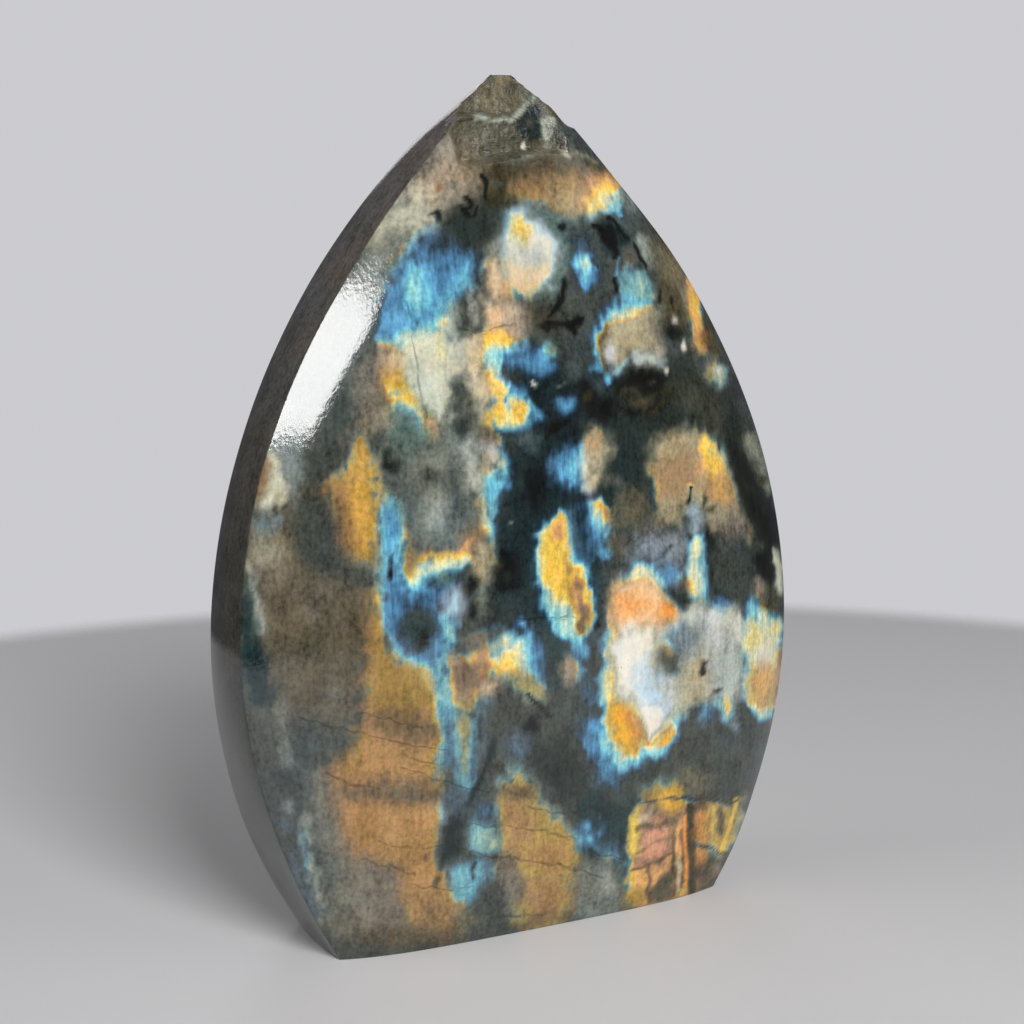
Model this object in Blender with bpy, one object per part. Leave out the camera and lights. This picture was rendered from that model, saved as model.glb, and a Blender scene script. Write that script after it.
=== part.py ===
"""A polished labradorite flame: one solid stone, cut flat at its base and broken at its tip.

Frame: metres, +Z up, origin on the base at the middle of the stone, front face towards -Y.
The stone is a loft of level sections. Each section has two flat walls, left and right,
joined by a domed front and a domed back.
"""

import bpy
import bmesh
import math
import numpy as np
from mathutils import Matrix, Vector

MM = 0.001

# Driving dimensions.
HEIGHT = 119.8 * MM
FRONT_LEAN = 0.04          # the front face leans back this much per unit of height
MIDDLE_Y = 8.9 * MM        # from the base's front edge line back to the origin
MIDDLE_X = 0.52 * MM       # from the middle that the reaches are taken from to the origin
DOME_CROWN = 0.20          # share of the dome that is an even curve, the rest is its shoulder
DOME_SHOULDER = 5.0        # power of the shoulder's fall towards the walls
WALL_CROWN = 0.5 * MM      # how far the walls swell between their two edges
EDGE_ROUND = 0.7 * MM      # rounding where a wall meets a domed face
EDGE_SOFT = 2.2 * MM       # extra rounding at the widest part
EDGE_SOFT_HEIGHT = 46 * MM
EDGE_SOFT_REACH = 17 * MM

# Sections, in millimetres: height, left reach, right reach, wall depth, front dome, and the
# depth from the front edges to the middle of the back.
SECTIONS = (
    (0.0, 30.4, 30.9, 15.0, 2.6, 18.0),
    (6.0, 33.6, 34.8, 16.0, 4.4, 20.3),
    (14.0, 37.1, 38.4, 16.4, 6.0, 22.0),
    (26.0, 40.9, 42.3, 14.4, 7.4, 23.0),
    (40.0, 42.9, 44.0, 12.6, 8.2, 22.8),
    (54.0, 42.1, 42.9, 11.6, 8.2, 21.7),
    (68.0, 39.0, 39.3, 10.6, 7.6, 20.0),
    (82.0, 33.0, 32.9, 10.9, 6.2, 18.1),
    (95.0, 24.7, 24.5, 11.6, 4.4, 16.1),
    (106.0, 16.1, 14.7, 10.2, 2.8, 13.0),
    (114.0, 8.8, 7.0, 7.6, 1.4, 9.0),
    (119.8, 1.9, 0.9, 5.8, 0.4, 6.3),
)

# Mesh fineness.
LEVELS = 41
FACE_STEPS = 22
EDGE_STEPS = 3
WALL_STEPS = 4

# Breaks at the tip. Each one is a flat plane that takes away all that lies in front of it:
# a point on the plane, its heading left or right of straight ahead, how far it looks up,
# its roll, and its width and height, in millimetres and degrees.
BREAKS = {
    "break_top": ((-2.4, -1.5, 115.9), -4.0, 25.0, 4.0, 17.6, 8.4),
    "break_middle": ((-3.4, -4.5, 111.6), -6.0, 3.0, -11.0, 17.0, 7.0),
    "break_right": ((2.0, -3.8, 112.7), 30.0, 10.0, 10.0, 5.6, 8.1),
    "break_corner": ((5.5, -3.6, 113.9), 38.0, 27.0, -32.0, 6.0, 5.4),
    "break_foot": ((-31.4, -9.4, 1.6), -52.0, -12.0, 8.0, 3.0, 3.4),
}
BREAK_DEPTH = 8.0 * MM

STONE_COLOUR = (0.045, 0.050, 0.048, 1.0)
STONE_ROUGHNESS = 0.12


def clear_scene():
    for thing in list(bpy.data.objects):
        bpy.data.objects.remove(thing, do_unlink=True)


def new_collection(name):
    collection = bpy.data.collections.new(name)
    bpy.context.scene.collection.children.link(collection)
    return collection


def polished_stone():
    material = bpy.data.materials.new("polished_labradorite")
    material.use_nodes = True
    shader = material.node_tree.nodes["Principled BSDF"]
    shader.inputs["Base Color"].default_value = STONE_COLOUR
    shader.inputs["Roughness"].default_value = STONE_ROUGHNESS
    shader.inputs["Metallic"].default_value = 0.0
    material.diffuse_color = STONE_COLOUR
    return material


def smooth_column(heights, column):
    """Read one column of SECTIONS at the given heights, on a cubic through its values."""
    rows = np.array(SECTIONS) * MM
    z = rows[:, 0]
    value = rows[:, column]
    slope = np.gradient(value, z)
    i = np.clip(np.searchsorted(z, heights, side="right") - 1, 0, len(z) - 2)
    span = z[i + 1] - z[i]
    t = (heights - z[i]) / span
    start = (2 * t**3 - 3 * t**2 + 1) * value[i] + (t**3 - 2 * t**2 + t) * span * slope[i]
    end = (3 * t**2 - 2 * t**3) * value[i + 1] + (t**3 - t**2) * span * slope[i + 1]
    return start + end


def dome(u):
    """Fall of a domed face from 1 at its middle to 0 where it meets the walls, u = -1 to 1."""
    return 1.0 - DOME_CROWN * u**2 - (1.0 - DOME_CROWN) * np.abs(u) ** DOME_SHOULDER


def rounded(before, corner, after, radius, steps):
    """Points of a curve that leaves one side at a corner and joins the next side."""
    start = corner + (before - corner) * min(radius / np.linalg.norm(before - corner), 0.45)
    end = corner + (after - corner) * min(radius / np.linalg.norm(after - corner), 0.45)
    t = np.linspace(0.0, 1.0, steps + 1)[:, None]
    return (1 - t) ** 2 * start + 2 * t * (1 - t) * corner + t**2 * end


def section(height, left, right, wall, front_dome, depth):
    """One level section, counter-clockwise from the front left corner, seen from above."""
    front_y = FRONT_LEAN * height - MIDDLE_Y
    back_y = front_y + wall
    soft = math.exp(-(((height - EDGE_SOFT_HEIGHT) / EDGE_SOFT_REACH) ** 2))
    radius = EDGE_ROUND + EDGE_SOFT * soft
    middle = (right - left) / 2
    half = (right + left) / 2

    u = np.linspace(-1.0, 1.0, FACE_STEPS + 1)
    u = np.sin(u * math.pi / 2) * 0.35 + u * 0.65
    front = np.column_stack([middle + u * half, front_y - front_dome * dome(u)])
    back = np.column_stack([middle - u * half, back_y + (depth - wall) * dome(u)])

    v = np.linspace(-1.0, 1.0, WALL_STEPS + 1)
    swell = WALL_CROWN * min(1.0, half / (10 * MM)) * (1.0 - v**2)
    wall_y = (front_y + back_y) / 2 + v * wall / 2
    right_wall = np.column_stack([right + swell, wall_y])
    left_wall = np.column_stack([-left - swell, wall_y])[::-1]

    sides = (front, right_wall, back, left_wall)
    loop = []
    for k, side in enumerate(sides):
        following = sides[(k + 1) % 4]
        loop.append(side[1:-1])
        loop.append(rounded(side[-2], side[-1], following[1], radius, EDGE_STEPS))
    flat = np.concatenate(loop) - (MIDDLE_X, 0.0)
    return np.column_stack([flat, np.full(len(flat), height)])


def level_heights():
    """Heights of the sections, closer together towards the tip."""
    t = np.linspace(0.0, 1.0, LEVELS)
    return HEIGHT * (t + 0.12 * np.sin(math.pi * t) * t)


def build_flame(collection, material):
    heights = level_heights()
    columns = [smooth_column(heights, k) for k in range(1, 6)]
    rings = [section(z, *[column[i] for column in columns]) for i, z in enumerate(heights)]

    mesh = bpy.data.meshes.new("flame_stone")
    stone = bpy.data.objects.new("flame_stone", mesh)
    collection.objects.link(stone)
    bm = bmesh.new()
    loops = [[bm.verts.new(point) for point in ring] for ring in rings]
    count = len(loops[0])
    for lower, upper in zip(loops, loops[1:]):
        for j in range(count):
            k = (j + 1) % count
            bm.faces.new((lower[j], lower[k], upper[k], upper[j]))
    bm.faces.new(list(reversed(loops[0])))
    bm.faces.new(loops[-1])
    bmesh.ops.triangulate(bm, faces=[f for f in bm.faces if len(f.verts) == 4])
    bm.to_mesh(mesh)
    bm.free()
    mesh.materials.append(material)
    mesh.shade_smooth()
    mesh.set_sharp_from_angle(angle=math.radians(30))
    return stone


def build_break(name, collection, point, heading, looks_up, roll, width, height):
    """A block whose inner face is the break's plane; its faces are the break and its ledges."""
    bpy.ops.mesh.primitive_cube_add(size=1.0)
    block = bpy.context.object
    block.name = name
    for owner in list(block.users_collection):
        owner.objects.unlink(block)
    collection.objects.link(block)
    size = Matrix.Diagonal((width * MM, BREAK_DEPTH, height * MM, 1.0))
    outward = Matrix.Translation((0.0, -BREAK_DEPTH / 2, 0.0))
    turn = (
        Matrix.Rotation(math.radians(heading), 4, "Z")
        @ Matrix.Rotation(math.radians(-looks_up), 4, "X")
        @ Matrix.Rotation(math.radians(roll), 4, "Y")
    )
    place = Matrix.Translation(Vector(point) * MM)
    block.data.transform(place @ turn @ outward @ size)
    block.hide_render = True
    block.display_type = "WIRE"
    return block


def cut(stone, cutter):
    modifier = stone.modifiers.new(cutter.name, "BOOLEAN")
    modifier.operation = "DIFFERENCE"
    modifier.solver = "EXACT"
    modifier.object = cutter


def main():
    clear_scene()
    parts = new_collection("spectrolite_flame")
    cutters = new_collection("cutters")
    stone = build_flame(parts, polished_stone())
    for name, values in BREAKS.items():
        cut(stone, build_break(name, cutters, *values))


main()
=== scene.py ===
"""A polished labradorite flame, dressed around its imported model.

Frame: metres, +Z up, origin on the base at the middle of the stone, front face towards -Y.
The stone is one fine surface, worked out by the same sections as its solid. Its colour zones
are marks laid one over another on the front face, each with its own outline and soft edge.
"""

import math

import bpy
import numpy as np
from mathutils import Euler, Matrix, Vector


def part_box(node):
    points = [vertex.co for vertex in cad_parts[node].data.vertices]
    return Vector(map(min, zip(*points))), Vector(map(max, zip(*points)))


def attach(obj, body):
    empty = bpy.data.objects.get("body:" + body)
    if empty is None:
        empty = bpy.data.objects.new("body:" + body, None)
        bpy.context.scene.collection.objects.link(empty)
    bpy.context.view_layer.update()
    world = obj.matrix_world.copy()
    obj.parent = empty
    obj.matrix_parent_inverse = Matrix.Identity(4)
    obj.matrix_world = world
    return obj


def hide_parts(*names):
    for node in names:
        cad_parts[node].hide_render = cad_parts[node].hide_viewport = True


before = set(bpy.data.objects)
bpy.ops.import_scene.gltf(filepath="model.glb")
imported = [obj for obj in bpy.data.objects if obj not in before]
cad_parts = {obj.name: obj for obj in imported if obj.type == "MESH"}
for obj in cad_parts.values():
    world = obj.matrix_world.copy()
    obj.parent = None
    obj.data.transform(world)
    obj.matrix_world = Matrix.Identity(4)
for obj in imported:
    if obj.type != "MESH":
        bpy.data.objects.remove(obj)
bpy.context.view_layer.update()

bl_info = {
    "name": "Labradorite Flame",
    "version": (1, 0, 0),
    "blender": (4, 5, 0),
    "location": "View3D > Sidebar > Flame",
    "description": "Builds a polished labradorite flame and the plain stage it is shown on",
    "category": "Add Mesh",
}

MM = 0.001
NODE = "flame_stone"
NODE_LOW, NODE_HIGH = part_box(NODE)

# Driving dimensions of the stone, the same as its solid's.
HEIGHT = NODE_HIGH.z
FRONT_LEAN = 0.04          # the front face leans back this much per unit of height
MIDDLE_Y = 8.9 * MM        # from the base's front edge line back to the origin
MIDDLE_X = 0.52 * MM       # from the middle that the reaches are taken from to the origin
DOME_CROWN = 0.20          # share of the dome that is an even curve, the rest is its shoulder
DOME_SHOULDER = 5.0        # power of the shoulder's fall towards the walls
WALL_CROWN = 0.5 * MM      # how far the walls swell between their two edges
EDGE_ROUND = 0.7 * MM      # rounding where a wall meets a domed face
EDGE_SOFT = 2.2 * MM       # extra rounding at the widest part
EDGE_SOFT_HEIGHT = 46 * MM
EDGE_SOFT_REACH = 17 * MM
CORNER_SHARE = 0.45        # largest share of a neighbouring step that a corner may take
FULL_SWELL_HALF = 10 * MM  # half width from which the walls swell fully

# Sections, in millimetres: height, left reach, right reach, wall depth, front dome, and the
# depth from the front edges to the middle of the back.
SECTIONS = (
    (0.0, 30.4, 30.9, 15.0, 2.6, 18.0),
    (6.0, 33.6, 34.8, 16.0, 4.4, 20.3),
    (14.0, 37.1, 38.4, 16.4, 6.0, 22.0),
    (26.0, 40.9, 42.3, 14.4, 7.4, 23.0),
    (40.0, 42.9, 44.0, 12.6, 8.2, 22.8),
    (54.0, 42.1, 42.9, 11.6, 8.2, 21.7),
    (68.0, 39.0, 39.3, 10.6, 7.6, 20.0),
    (82.0, 33.0, 32.9, 10.9, 6.2, 18.1),
    (95.0, 24.7, 24.5, 11.6, 4.4, 16.1),
    (106.0, 16.1, 14.7, 10.2, 2.8, 13.0),
    (114.0, 8.8, 7.0, 7.6, 1.4, 9.0),
    (119.8, 1.9, 0.9, 5.8, 0.4, 6.3),
)

# Breaks at the tip and foot: a point on the plane, its heading left or right of straight
# ahead, how far it looks up, its roll, and its width and height, in millimetres and degrees.
# The top one reaches a little higher and lies a little further back than the solid's, so that
# no thin ledge is left above it.
BREAKS = {
    "break_top": ((-2.4, -1.2, 116.5), -4.0, 25.0, 4.0, 17.6, 9.8),
    "break_middle": ((-3.4, -4.5, 111.6), -6.0, 3.0, -11.0, 17.0, 7.0),
    "break_right": ((2.0, -3.8, 112.7), 30.0, 10.0, 10.0, 5.6, 8.1),
    "break_corner": ((5.5, -3.6, 113.9), 38.0, 27.0, -32.0, 6.0, 5.4),
    "break_foot": ((-31.4, -9.4, 1.6), -52.0, -12.0, 8.0, 3.0, 3.4),
}
BREAK_BEVEL = 1.0 * MM     # how far in from a break's rim its full depth is reached
BREAK_SIDES = 2.6 * MM     # the same at its left and right
BREAK_DULLING = 12.0       # a twelfth of the full depth is enough to be wholly dull
BREAK_RIDGES = ((3.4, 0.5, 31), (1.5, 0.32, 32), (0.7, 0.18, 33))  # width in mm, share and seed
RIDGE_SQUASH = 0.7         # height of a ridge's noise against its width
RIDGE_SLANT = 0.35         # rise of the ridges for each unit across
TIP_RIDGE = 0.8 * MM       # where the tip's top starts to fall away towards the back
TIP_FALL = 0.30            # fall for each unit further back
TIP_FALL_HEIGHT = 2 * MM   # how far below the top the fall sets in

# Mesh fineness.
ROWS = 288
FACE_STEPS = 244
BACK_STEPS = 48
WALL_STEPS = 10
EDGE_STEPS = 6
TIP_CROWDING = 0.06        # how much closer together the levels lie near the tip
SIDE_CROWDING = 0.35       # how much closer together the columns lie near the walls

# The photograph's camera, in the stone's frame.
FRAME_PIXELS = 1024
FOCAL_PIXELS = 1900.0
SENSOR = 36.0
CAMERA_PLACE = (-0.12490, -0.23851, 0.1026)
CAMERA_TURN = (math.radians(80.7), 0.0, math.radians(-27.73))

# Finish of the stone. Ripples are counted per metre across, through and up the stone.
STONE_IOR = 1.56
BROKEN_ROUGHNESS = 0.45
FINE_STREAKS = (1600.0, 1600.0, 220.0)
COARSE_STREAKS = (800.0, 800.0, 110.0)
CRYSTALS = (1800.0, 1800.0, 1500.0)
MOTTLES = (330.0, 330.0, 260.0)
WARMTHS = (150.0, 150.0, 110.0)
SMEARS = (60.0, 60.0, 40.0)
POLISH_WAVES = (2200.0, 2200.0, 1300.0)
BREAK_GRAIN = (1100.0, 1100.0, 1300.0)
POLISH_RELIEF = 0.0000035
BREAK_RELIEF = 0.00012
STREAK_SHIFT = 0.030       # how far a streak moves the sheen's level
MOTTLE_SHIFT = 0.022
WARM_CAST = (1.14, 1.00, 0.84)
COOL_CAST = (0.90, 1.00, 1.08)
CRACK_CORE = 0.5           # pixels from a crack's middle that are wholly dark
CRACK_RIM = 1.7            # and that the darkness reaches
SILVER_TONE = (238, 234, 232)
GLOSS_LIGHT = 0.017        # mirrored light in every photographed colour, which the polish adds again
GLOSS_LEAST = 0.45         # share of a colour that is kept whatever is taken off for it
RIPPLE_GAIN = 4.6          # brings Blender's noise, less a half, to about -1 to 1
PATTERN_LEAST = 0.12       # least share of a value that the patterns leave
SPECK_BAND = (0.7, 1.3)    # grain from which a speck shows, and at which it is whole
SPECK_DARK = 0.45
CRACK_WANDER = 0.5         # pixels that a crack's middle moves about
CRACK_NEAR_BAND = (0.0, 0.8)
CRACK_BREAK_BAND = (-1.0, 0.2)
CRACK_DARK = 0.42
HOLLOW_DARK = 0.9
HOLLOW_DULL = 0.4
SMEAR_SHIFT = 0.015        # how far smears move the polish's roughness

# Edges of the marks and cracks, in the photograph's pixels.
SOFT_FROM = 3.5            # softness from which an edge is spread widely
SOFT_SPREAD = 3.4          # width of such an edge for each unit of softness
CRISP_SPREAD = 1.8         # and of a crisper edge
MARK_MARGIN = 2.0          # room around a mark for its frayed edge
FRAY = 0.30                # how far noise moves an edge, as a share of its width
FLASH_YIELD = 1.3          # power by which the sheen's strength gives way before its colour
CRACK_START = 1.35         # nearness at a crack's middle, before it is held to 1
CRACK_FALL = 1.6           # loss of nearness over a crack's whole reach

# Where the looks change over around the stone. A column's side is 0 on the front, 1 on the
# right wall, 2 on the back and 3 on the left wall, and runs from one to the next in a corner.
FRONT_ENDS = (1.75, 3.0)
INTO_BACK = (1.2, 2.0)
OUT_OF_BACK = (2.3, 3.0)
OUT_OF_LEFT_WALL = (3.25, 3.8)
# Painted shade along the left wall's rounded rear corner: where it sets in, where it ends and how dark it is.
REAR_EDGE_SHADE_IN = (2.35, 2.55)
REAR_EDGE_SHADE_OUT = (2.9, 3.0)
REAR_EDGE_SHADE = 0.8          # painted shade: share of the wall's tone that the left wall's rounded rear corner loses
INTO_RIGHT_WALL = (0.4, 1.0)
RIGHT_WALL_END = 1.5
RIGHT_WALL_SHARE = 0.55    # how far the right wall takes the walls' plain tone
PIT_BAND = (0.62, 0.75)    # noise from which a pit sinks, and at which it is whole

# Colours of the sheen by its level: navy, blue, cyan, cream, gold, orange, copper and grey.
SHEEN_RAMP = (
    (0.00, (20, 25, 26)),
    (0.10, (32, 46, 54)),
    (0.16, (50, 72, 88)),
    (0.22, (75, 109, 140)),
    (0.30, (97, 156, 194)),
    (0.37, (120, 197, 217)),
    (0.43, (153, 216, 215)),
    (0.49, (211, 223, 193)),
    (0.55, (243, 227, 145)),
    (0.62, (252, 206, 86)),
    (0.70, (232, 178, 110)),
    (0.78, (208, 156, 112)),
    (0.86, (170, 140, 104)),
    (0.93, (148, 132, 112)),
    (1.00, (122, 114, 104)),
)

STORED = {"sheen_level": "level", "sheen_strength": "flash", "body_tone": "tone", "silver": "silver",
          "hollow": "pit", "level_crack_side": "level_crack_side", "level_crack_near": "level_crack_near",
          "upright_crack_side": "upright_crack_side", "upright_crack_near": "upright_crack_near"}
PATTERNS = ("Streak", "Grain", "Mottle", "Warmth")

# Stage, in metres.
FLOOR_CENTRE = (-0.0034, -0.0364)
FLOOR_HEIGHT = -0.00005
FLOOR_FADE = 0.02
FLOOR_ROUGHNESS = 0.55
FLOOR_SIDES = 128
FLOOR_RINGS = 8
LIGHT_AIM = (0.0, 0.0, 0.05)
KEY_PLACE = (-0.05, -0.65, 0.50)
KEY_SIZE = 0.32
FILL_PLACE = (0.45, -0.45, 0.60)
FILL_SIZE = 0.45
BACK_PLACE = (0.25, 0.75, 0.45)
BACK_SIZE = 0.35
SIDE_PLACE = (-0.55, 0.08, 0.40)
SIDE_SIZE = 0.40

# The window of light that shows in the polish of the upper left shoulder: its four corners as
# bearings from that shoulder, left or right of straight ahead and up, in degrees.
WINDOW_FROM = (-0.030, -0.007, 0.082)
WINDOW_AWAY = 0.7
WINDOW_CORNERS = ((-14.5, 29.7), (-68.0, 45.0), (-76.0, 20.6), (-37.0, 18.4))


def hashed(ix, iy, seed):
    """A repeatable value from -1 to 1 for each whole-numbered cell."""
    mixed = (ix.astype(np.int64) * 73856093) ^ (iy.astype(np.int64) * 19349663) ^ np.int64(seed * 83492791)
    mixed = (mixed ^ (mixed >> 13)) * 1274126177
    mixed = mixed ^ (mixed >> 16)
    return (mixed & 0xFFFF) / 32767.5 - 1.0


def value_noise(x, y, seed):
    """Smooth noise from -1 to 1: values at whole numbers, blended by 3t^2 - 2t^3."""
    ix, iy = np.floor(x), np.floor(y)
    fx, fy = x - ix, y - iy
    fx, fy = fx * fx * (3 - 2 * fx), fy * fy * (3 - 2 * fy)
    low = hashed(ix, iy, seed) * (1 - fx) + hashed(ix + 1, iy, seed) * fx
    high = hashed(ix, iy + 1, seed) * (1 - fx) + hashed(ix + 1, iy + 1, seed) * fx
    return low * (1 - fy) + high * fy


def smooth_step(low, high, value):
    """0 below low, 1 above high, and 3t^2 - 2t^3 between them."""
    t = np.clip((value - low) / (high - low), 0.0, 1.0)
    return t * t * (3 - 2 * t)


def smooth_outline(points, closed, rounds=2):
    """Cut the corners of an outline: each side gives the points at its first and third quarter."""
    for _ in range(rounds):
        ahead = np.roll(points, -1, axis=0)
        if closed:
            points = np.stack((0.75 * points + 0.25 * ahead, 0.25 * points + 0.75 * ahead), 1).reshape(-1, 2)
        else:
            near = 0.75 * points[:-1] + 0.25 * points[1:]
            far = 0.25 * points[:-1] + 0.75 * points[1:]
            cut = np.stack((near, far), 1)
            points = np.concatenate((points[:1], cut.reshape(-1, 2), points[-1:]))
    return points


def distance_to_sides(places, starts, ends):
    """Distance from each place to the nearest of the sides."""
    along = ends - starts
    away = places[:, None, :] - starts[None]
    length = np.maximum((along ** 2).sum(1), 1e-9)
    share = np.clip((away * along[None]).sum(2) / length, 0.0, 1.0)
    gap = away - share[..., None] * along[None]
    return np.sqrt((gap ** 2).sum(2)).min(1)


def inside(places, corners):
    """True where a place is inside the closed outline, by counting crossings to its right."""
    x, y = places[:, 0:1], places[:, 1:2]
    x0, y0 = corners[:, 0], corners[:, 1]
    x1, y1 = np.roll(x0, -1), np.roll(y0, -1)
    spans = (y0 > y) != (y1 > y)
    rise = np.where(y1 == y0, 1e-9, y1 - y0)
    crosses = spans & (x < (x1 - x0) * (y - y0) / rise + x0)
    return crosses.sum(1) % 2 == 1


def outside_distance(places, mark):
    """Distance outside a mark's rim, negative inside."""
    points = np.array(mark["points"], float)
    if mark["form"] == "spot":
        centre, reach = points[0], points[1]
        turn = np.radians(mark["turn"])
        offset = places - centre
        across = offset[:, 0] * np.cos(turn) + offset[:, 1] * np.sin(turn)
        down = offset[:, 1] * np.cos(turn) - offset[:, 0] * np.sin(turn)
        return (np.hypot(across / reach[0], down / reach[1]) - 1.0) * reach.min()
    if mark["form"] == "line":
        points = smooth_outline(points, False)
        return distance_to_sides(places, points[:-1], points[1:]) - mark["width"] / 2
    points = smooth_outline(points, True)
    gap = distance_to_sides(places, points, np.roll(points, -1, axis=0))
    return np.where(inside(places, points), -gap, gap)


def paint_marks(places, channels, marks, paints):
    """Lay each mark's paint over the channels, fully inside and fading across its soft edge.

    Cover is 3t^2 - 2t^3 of the place's share t of the way in. Where sheen meets plain stone, the
    sheen's strength gives way before its colour does.
    """
    x, y = places[:, 0], places[:, 1]
    fray = 0.6 * value_noise(x / 5.0, y / 8.0, 21) + 0.4 * value_noise(x / 11.0, y / 13.0, 22)
    for mark in marks:
        edge = mark["soft"] * (SOFT_SPREAD if mark["soft"] >= SOFT_FROM else CRISP_SPREAD)
        points = np.array(mark["points"], float)
        if mark["form"] == "spot":
            low, high = points[0] - points[1].max(), points[0] + points[1].max()
        else:
            low, high = points.min(0), points.max(0)
        margin = edge + mark.get("width", 0.0) + MARK_MARGIN
        near = np.flatnonzero(((places > low - margin) & (places < high + margin)).all(1))
        if not len(near):
            continue
        frayed = outside_distance(places[near], mark) / edge + FRAY * fray[near]
        inward = np.clip(0.5 - frayed, 0.0, 1.0)
        cover = mark["cover"] * inward * inward * (3 - 2 * inward)
        for name, value in paints[mark["paint"]].items():
            channel = channels[name]
            weight = cover if channel.ndim == 1 else cover[:, None]
            if name == "flash":
                late, early = cover**FLASH_YIELD, 1 - (1 - cover) ** FLASH_YIELD
                weight = np.where(value > channel[near], late, early)
            channel[near] += (np.asarray(value, float) - channel[near]) * weight


def draw_cracks(places, channels, cracks):
    """Signed distance from the middle of the nearest crack, and how near that crack is.

    Nearness = CRACK_START - CRACK_FALL distance / CRACK_REACH, held from 0 to 1.
    """
    for name, lines in cracks.items():
        side, near = channels[name + "_side"], channels[name + "_near"]
        for points in lines:
            points = smooth_outline(np.array(points, float), False)
            starts, along = points[:-1], points[1:] - points[:-1]
            close = np.flatnonzero(((places > points.min(0) - CRACK_REACH)
                                    & (places < points.max(0) + CRACK_REACH)).all(1))
            if not len(close):
                continue
            away = places[close][:, None] - starts[None]
            length = np.sqrt((along**2).sum(1))
            share = np.clip((away * along).sum(2) / length**2, 0.0, 1.0)
            gap = np.sqrt(((away - share[..., None] * along) ** 2).sum(2))
            nearest = gap.argmin(1)
            row = np.arange(len(close))
            distance = gap[row, nearest]
            signed = (away[..., 0] * along[:, 1] - away[..., 1] * along[:, 0])[row, nearest] / length[nearest]
            strength = np.clip(CRACK_START - distance / CRACK_REACH * CRACK_FALL, 0.0, 1.0)
            taken = strength > near[close]
            side[close[taken]] = signed[taken]
            near[close[taken]] = strength[taken]


def area(paint, soft, *points, cover=1.0):
    """A mark that fills a closed outline through the points, in the photograph's pixels."""
    return {"form": "area", "paint": paint, "soft": soft, "cover": cover, "points": points}


def line(paint, soft, width, *points, cover=1.0):
    """A mark of this width along the points."""
    return {"form": "line", "paint": paint, "soft": soft, "cover": cover, "width": width, "points": points}


def spot(paint, soft, centre, reach, turn=0.0, cover=1.0):
    """A mark that fills an ellipse, given by its reach across and down and its turn in degrees."""
    return {"form": "spot", "paint": paint, "soft": soft, "cover": cover, "turn": turn,
            "points": (centre, reach)}


# The sheen's level that plain stone keeps. It decides through which colours of the ramp a patch
# of sheen passes where it meets that stone.
WARM, PALE, COOL = 0.90, 0.50, 0.12


def body(*tone, level=COOL):
    """A paint of plain stone in this tone, from 0 to 255, without sheen."""
    return {"tone": tone, "flash": 0.0, "silver": 0.0, "level": level}


def sheen(level, flash=1.0, silver=0.0, tone=None):
    """A paint of sheen: its level on the ramp, its strength, the silver over it and its tone."""
    paint = {"level": level, "flash": flash, "silver": silver}
    if tone:
        paint["tone"] = tone
    return paint


PAINTS = {
    # dark stone that the cyan fringes fade into
    "black": body(28, 31, 29),
    "ink": body(43, 54, 56),
    "charcoal": body(54, 60, 58),
    "slate": body(74, 81, 80),
    "teal_dark": body(50, 68, 70),
    "steel": body(122, 134, 136),
    "blue_grey": body(92, 112, 132),
    "teal_grey": body(98, 120, 116),
    "lilac_grey": body(136, 146, 156),
    # brown, green and pale stone that the gold fades into
    "olive_dark": body(66, 64, 50, level=WARM),
    "olive": body(87, 85, 71, level=WARM),
    "moss": body(118, 112, 92, level=WARM),
    "umber": body(82, 74, 58, level=WARM),
    "earth": body(100, 88, 69, level=WARM),
    "taupe": body(104, 98, 85, level=WARM),
    "mauve": body(124, 116, 105, level=WARM),
    "stone": body(116, 123, 117, level=WARM),
    "pale_grey": body(178, 184, 176, level=PALE),
    "pale_green": body(165, 173, 160, level=PALE),
    "beige": body(176, 166, 136, level=WARM),
    "pinkish": body(170, 158, 142, level=WARM),
    "cream_stone": body(213, 212, 188, level=PALE),
    "lilac_white": body(212, 214, 218, level=PALE),
    "white": body(236, 238, 232, level=PALE),
    "peach_stone": body(217, 194, 163, level=WARM),
    "brown": body(138, 112, 86, level=WARM),
    # the strongest glow, past the ramp's own colours
    "flame": body(255, 190, 66, level=0.63),
    "sun": body(255, 222, 104, level=WARM),
    "bright_peach": body(246, 203, 156, level=WARM),
    "rose": body(209, 154, 127, level=WARM),
    "ember": body(250, 158, 82, level=0.68),
    "warm_white": body(238, 238, 231, level=PALE),
    "pale_blue": body(190, 217, 238, level=PALE),
    # full sheen
    "royal": sheen(0.21),
    "blue": sheen(0.285),
    "sky": sheen(0.355),
    "aqua": sheen(0.42),
    "mint": sheen(0.465),
    "cream": sheen(0.51, 1.0, 0.12),
    "yellow": sheen(0.57),
    "gold": sheen(0.63),
    "orange": sheen(0.70),
    "copper": sheen(0.78),
    "tan": sheen(0.87),
    # sheen that only just shows
    "old_gold": sheen(0.70, 0.28, 0.0, (140, 112, 78)),
    "old_copper": sheen(0.74, 0.24, 0.0, (140, 115, 80)),
    "ochre": sheen(0.64, 0.20, 0.0, (121, 97, 59)),
    "brass": sheen(0.60, 0.26, 0.0, (141, 127, 89)),
    "faint_blue": sheen(0.25, 0.52, 0.0, (76, 90, 96)),
    "faint_sky": sheen(0.37, 0.55, 0.0, (98, 116, 114)),
    "faint_aqua": sheen(0.42, 0.52, 0.0, (110, 128, 120)),
    "faint_mint": sheen(0.47, 0.42, 0.0, (116, 126, 106)),
    "faint_green": sheen(0.50, 0.26, 0.0, (100, 108, 82)),
    # pale clouds over sheen
    "pearl": sheen(0.52, 0.8, 0.62),
    "peach_pearl": sheen(0.72, 0.9, 0.38),
    "blue_pearl": sheen(0.36, 0.8, 0.36),
    # takes the blue fringe from an edge
    "warm_edge": {"level": 0.74},
}

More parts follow.
